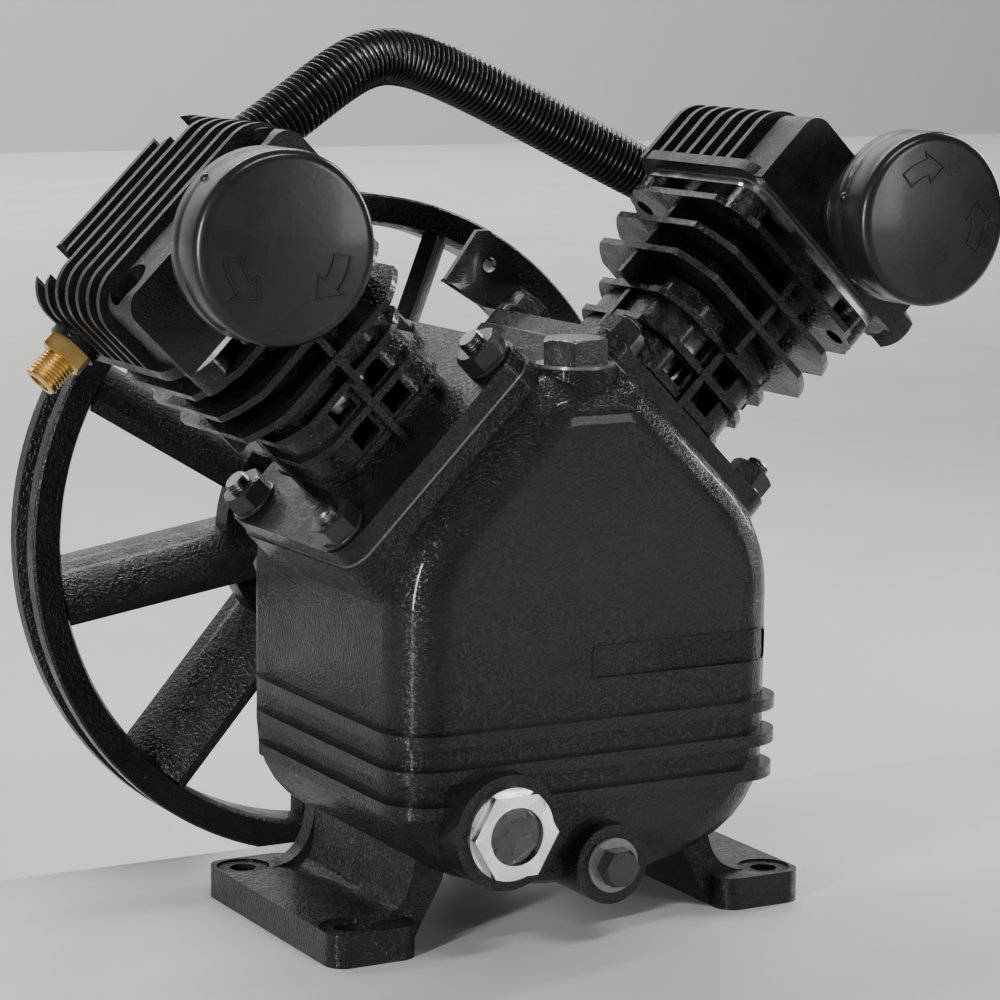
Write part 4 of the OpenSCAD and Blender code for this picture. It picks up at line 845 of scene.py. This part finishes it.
def ribbed_hose_tree():
    """Sweeps a round section along a curve and swells it once for each rib."""
    tree, ids, start, end = geometry_tree("RibbedHose", [
        ("Radius", "NodeSocketFloat", 0.012), ("Rib Depth", "NodeSocketFloat", 0.0018),
        ("Ribs", "NodeSocketInt", 96), ("Samples", "NodeSocketInt", 10), ("Sides", "NodeSocketInt", 28),
        ("Material", "NodeSocketMaterial", None)])
    links = tree.links
    count = math_node(tree, "MULTIPLY", start.outputs["Ribs"], start.outputs["Samples"])
    resample = tree.nodes.new("GeometryNodeResampleCurve")
    links.new(start.outputs["Geometry"], resample.inputs["Curve"])
    links.new(math_node(tree, "ADD", count, 1), resample.inputs["Count"])
    where = tree.nodes.new("GeometryNodeSplineParameter")
    turn = math_node(tree, "MULTIPLY", where.outputs["Factor"], start.outputs["Ribs"])
    wave = math_node(tree, "COSINE", math_node(tree, "MULTIPLY", turn, 2 * math.pi))
    # A rib is wider than the valley beside it
    half = math_node(tree, "MULTIPLY", math_node(tree, "SUBTRACT", 1, wave), 0.5)
    crest = math_node(tree, "POWER", half, 0.7)
    rib_depth = start.outputs["Rib Depth"]
    valley = math_node(tree, "SUBTRACT", start.outputs["Radius"], rib_depth)
    radius = math_node(tree, "ADD", valley, math_node(tree, "MULTIPLY", crest, rib_depth))
    swell = tree.nodes.new("GeometryNodeSetCurveRadius")
    links.new(resample.outputs["Curve"], swell.inputs["Curve"])
    links.new(radius, swell.inputs["Radius"])
    ring = tree.nodes.new("GeometryNodeCurvePrimitiveCircle")
    ring.inputs["Radius"].default_value = 1
    links.new(start.outputs["Sides"], ring.inputs["Resolution"])
    sweep = tree.nodes.new("GeometryNodeCurveToMesh")
    links.new(swell.outputs["Curve"], sweep.inputs["Curve"])
    links.new(ring.outputs["Curve"], sweep.inputs["Profile Curve"])
    sweep.inputs["Fill Caps"].default_value = True
    if "Scale" in sweep.inputs:
        links.new(radius, sweep.inputs["Scale"])
    shade = tree.nodes.new("GeometryNodeSetShadeSmooth")
    links.new(sweep.outputs["Mesh"], shade.inputs["Geometry"])
    paint = tree.nodes.new("GeometryNodeSetMaterial")
    links.new(shade.outputs["Geometry"], paint.inputs["Geometry"])
    links.new(start.outputs["Material"], paint.inputs["Material"])
    links.new(paint.outputs["Geometry"], end.inputs["Geometry"])
    return tree, ids


def copies_tree():
    """Sets one copy of an object on every point, turned about its own axis by a seeded angle."""
    tree, ids, start, end = geometry_tree("FastenerCopies", [
        ("Piece", "NodeSocketObject", None), ("Turn", "NodeSocketFloat", 0.0),
        ("Seed", "NodeSocketInt", 3), ("Material", "NodeSocketMaterial", None)])
    links = tree.links
    info = tree.nodes.new("GeometryNodeObjectInfo")
    links.new(start.outputs["Piece"], info.inputs["Object"])
    angle = tree.nodes.new("FunctionNodeRandomValue")
    angle.data_type = "FLOAT"
    links.new(start.outputs["Turn"], angle.inputs[3])
    links.new(start.outputs["Seed"], angle.inputs["Seed"])
    spin = tree.nodes.new("ShaderNodeCombineXYZ")
    links.new(angle.outputs[1], spin.inputs["Z"])
    place = tree.nodes.new("GeometryNodeInstanceOnPoints")
    links.new(start.outputs["Geometry"], place.inputs["Points"])
    links.new(info.outputs["Geometry"], place.inputs["Instance"])
    links.new(spin.outputs["Vector"], place.inputs["Rotation"])
    realize = tree.nodes.new("GeometryNodeRealizeInstances")
    links.new(place.outputs["Instances"], realize.inputs["Geometry"])
    paint = tree.nodes.new("GeometryNodeSetMaterial")
    links.new(realize.outputs["Geometry"], paint.inputs["Geometry"])
    links.new(start.outputs["Material"], paint.inputs["Material"])
    links.new(paint.outputs["Geometry"], end.inputs["Geometry"])
    return tree, ids


def fastener_set(name, places, make_piece, matrix, material, turn=0.0, seed=3):
    """One mesh with a fastener on each place, made in its own axes and then set on the pump."""
    bm = bmesh.new()
    make_piece(bm)
    master = mesh_object(name + "_master", bm)
    smooth(master, FASTENER_CREASE)
    bm = bmesh.new()
    for place in places:
        bm.verts.new(place)
    obj = mesh_object(name, bm)
    tree, ids = copies_tree()
    modifier = obj.modifiers.new("Copies", "NODES")
    modifier.node_group = tree
    modifier[ids["Piece"]] = master
    modifier[ids["Turn"]] = turn
    modifier[ids["Seed"]] = seed
    modifier[ids["Material"]] = material
    bake(obj)
    bpy.data.objects.remove(master)
    obj.data.transform(matrix)
    return obj


# Hose piece

class HoseOperator(bpy.types.Operator):
    """Make the ribbed discharge hose over the V"""
    bl_idname = "pump.hose"
    bl_label = "Discharge hose"

    def execute(self, context):
        sizes = context.scene.pump_hose
        curve = bpy.data.curves.new("hose_route", "CURVE")
        curve.dimensions = "3D"
        points = hose_route()
        spline = curve.splines.new("POLY")
        spline.points.add(len(points) - 1)
        for slot, point in zip(spline.points, points):
            slot.co = (*point, 1)
        obj = link(bpy.data.objects.new("hose_sleeve", curve))
        tree, ids = ribbed_hose_tree()
        modifier = obj.modifiers.new("Ribs", "NODES")
        modifier.node_group = tree
        modifier[ids["Radius"]] = sizes.radius
        modifier[ids["Rib Depth"]] = sizes.rib_depth
        modifier[ids["Ribs"]] = sizes.ribs
        modifier[ids["Material"]] = MATERIALS["hose"]
        view = context.evaluated_depsgraph_get()
        data = bpy.data.meshes.new_from_object(obj.evaluated_get(view), depsgraph=view)
        bpy.data.objects.remove(obj)
        piece = link(bpy.data.objects.new("hose_sleeve", data))
        finish_piece(smooth(piece, angle=60), "pump_body", MATERIALS["hose"], "discharge_hose",
                     slot="hose")
        return {"FINISHED"}


# Stage

FLOOR_REACH = 14
WALL_Y = 6
WALL_HEIGHT = 9
WALL_THICKNESS = 0.1
SLAB_THICKNESS = 0.05
SLAB_GAP = 0.001
STEP_BELOW = 0.02
WORLD_COLOUR = (0.9, 0.92, 0.95, 1)
WORLD_STRENGTH = 0.17

# Name, width and height, watts, place and aim
LIGHTS = (
    ("key_left", (0.08, 0.75), 42, (-1.45, -0.8, 0.42), (0, 0, 0.2)),
    ("top_back", (1.2, 0.1), 15, (0.1, 0.75, 1.5), (0, 0.05, 0.2)),
    ("rim_right", (0.08, 1.1), 20, (1.3, 0.3, 0.75), (0, 0, 0.2)),
    ("front_top", (0.9, 0.07), 18, (0.2, -1.2, 1.6), (0, 0, 0.15)),
    ("front_right", (0.3, 0.5), 7, (0.85, -1.5, 0.4), (0, 0, 0.2)),
    ("wall_wash", (8, 0.6), 800, (0, 4, 4.5), (0, 6, 1.5)),
)

# The photograph's camera: roll in radians, focal length against the picture's width
CAMERA_EYE = (-0.65199, -1.17502, 0.38503)
CAMERA_AIM = (0.00558, 0.0166, 0.16528)
CAMERA_ROLL = 0.01
CAMERA_FOCAL = 3.31835
SENSOR_WIDTH = 36


def area_light(name, size, power, place, aim):
    data = bpy.data.lights.new(name, "AREA")
    data.shape = "RECTANGLE"
    data.size, data.size_y = size
    data.energy = power
    obj = link(bpy.data.objects.new(name, data))
    obj.location = place
    obj.rotation_euler = (Vector(aim) - Vector(place)).to_track_quat("-Z", "Y").to_euler()


def photo_camera():
    eye = Vector(CAMERA_EYE)
    forward = (Vector(CAMERA_AIM) - eye).normalized()
    right = forward.cross(Vector((0, 0, 1))).normalized()
    up = right.cross(forward)
    cos, sin = math.cos(CAMERA_ROLL), math.sin(CAMERA_ROLL)
    turn = Matrix((right * cos + up * sin, up * cos - right * sin, -forward)).transposed().to_4x4()
    data = bpy.data.cameras.new("photo_camera")
    data.sensor_width = SENSOR_WIDTH
    data.lens = SENSOR_WIDTH * CAMERA_FOCAL
    camera = link(bpy.data.objects.new("photo_camera", data))
    camera.matrix_world = Matrix.Translation(eye) @ turn
    return camera


def box_mesh(name, low, high):
    bm = bmesh.new()
    bmesh.ops.create_cube(bm, size=1)
    for vert in bm.verts:
        vert.co = Vector((low[i] if vert.co[i] < 0 else high[i]) for i in range(3))
    return mesh_object(name, bm)


class StageOperator(bpy.types.Operator):
    """Set the pale floor, the backdrop, the lights and the camera"""
    bl_idname = "pump.stage"
    bl_label = "Stage"

    def execute(self, context):
        stage = context.scene.pump_stage
        pale, shader, coords = new_material("PaleFloor", tuple(stage.floor_colour))
        tree = pale.node_tree
        worn = spread(tree, noise(tree, coords, 6.0), 0.3, 0.7, 0.32, 0.42)
        tree.links.new(worn, shader.inputs["Roughness"])
        ground = -SLAB_THICKNESS - STEP_BELOW
        slab = box_mesh("floor_slab", (-FLOOR_REACH, -FLOOR_REACH, -SLAB_THICKNESS),
                        (FLOOR_REACH, stage.slab_edge, 0))
        low = box_mesh("floor_low", (-FLOOR_REACH, stage.slab_edge + SLAB_GAP, ground),
                       (FLOOR_REACH, WALL_Y, -SLAB_THICKNESS))
        wall = box_mesh("backdrop", (-FLOOR_REACH, WALL_Y, ground),
                        (FLOOR_REACH, WALL_Y + WALL_THICKNESS, WALL_HEIGHT))
        for obj in (slab, low, wall):
            obj.data.materials.append(pale)
        world = context.scene.world or bpy.data.worlds.new("Studio")
        context.scene.world = world
        world.use_nodes = True
        background = world.node_tree.nodes["Background"]
        background.inputs["Color"].default_value = WORLD_COLOUR
        background.inputs["Strength"].default_value = WORLD_STRENGTH
        for light in LIGHTS:
            area_light(*light)
        context.scene.camera = photo_camera()
        return {"FINISHED"}


class PumpPanel(bpy.types.Panel):
    """The pump head's steps, in order"""
    bl_idname = "VIEW3D_PT_pump_head"
    bl_label = "Pump head"
    bl_space_type = "VIEW_3D"
    bl_region_type = "UI"
    bl_category = "Pump head"

    def draw(self, context):
        for step in STEPS:
            self.layout.operator(step.bl_idname)
        for group in (context.scene.pump_finish, context.scene.pump_hose, context.scene.pump_stage):
            for name in group.bl_rna.properties.keys():
                if name not in ("rna_type", "name"):
                    self.layout.prop(group, name)


STEPS = (StageOperator, InnerPartsOperator, CastingsOperator, FiltersOperator, FastenersOperator,
         SightGlassOperator, HoseOperator)
CLASSES = (PumpFinish, PumpHose, PumpStage) + STEPS + (PumpPanel,)


def register():
    for cls in CLASSES:
        bpy.utils.register_class(cls)
    bpy.types.Scene.pump_finish = PointerProperty(type=PumpFinish)
    bpy.types.Scene.pump_hose = PointerProperty(type=PumpHose)
    bpy.types.Scene.pump_stage = PointerProperty(type=PumpStage)


def unregister():
    del bpy.types.Scene.pump_finish
    del bpy.types.Scene.pump_hose
    del bpy.types.Scene.pump_stage
    for cls in reversed(CLASSES):
        bpy.utils.unregister_class(cls)


def main():
    register()
    MATERIALS.update(make_materials())
    bpy.ops.pump.stage()
    bpy.ops.pump.inner_parts()
    bpy.ops.pump.castings()
    bpy.ops.pump.filters()
    bpy.ops.pump.fasteners()
    bpy.ops.pump.sight_glass()
    bpy.ops.pump.hose()


if __name__ == "__main__":
    main()
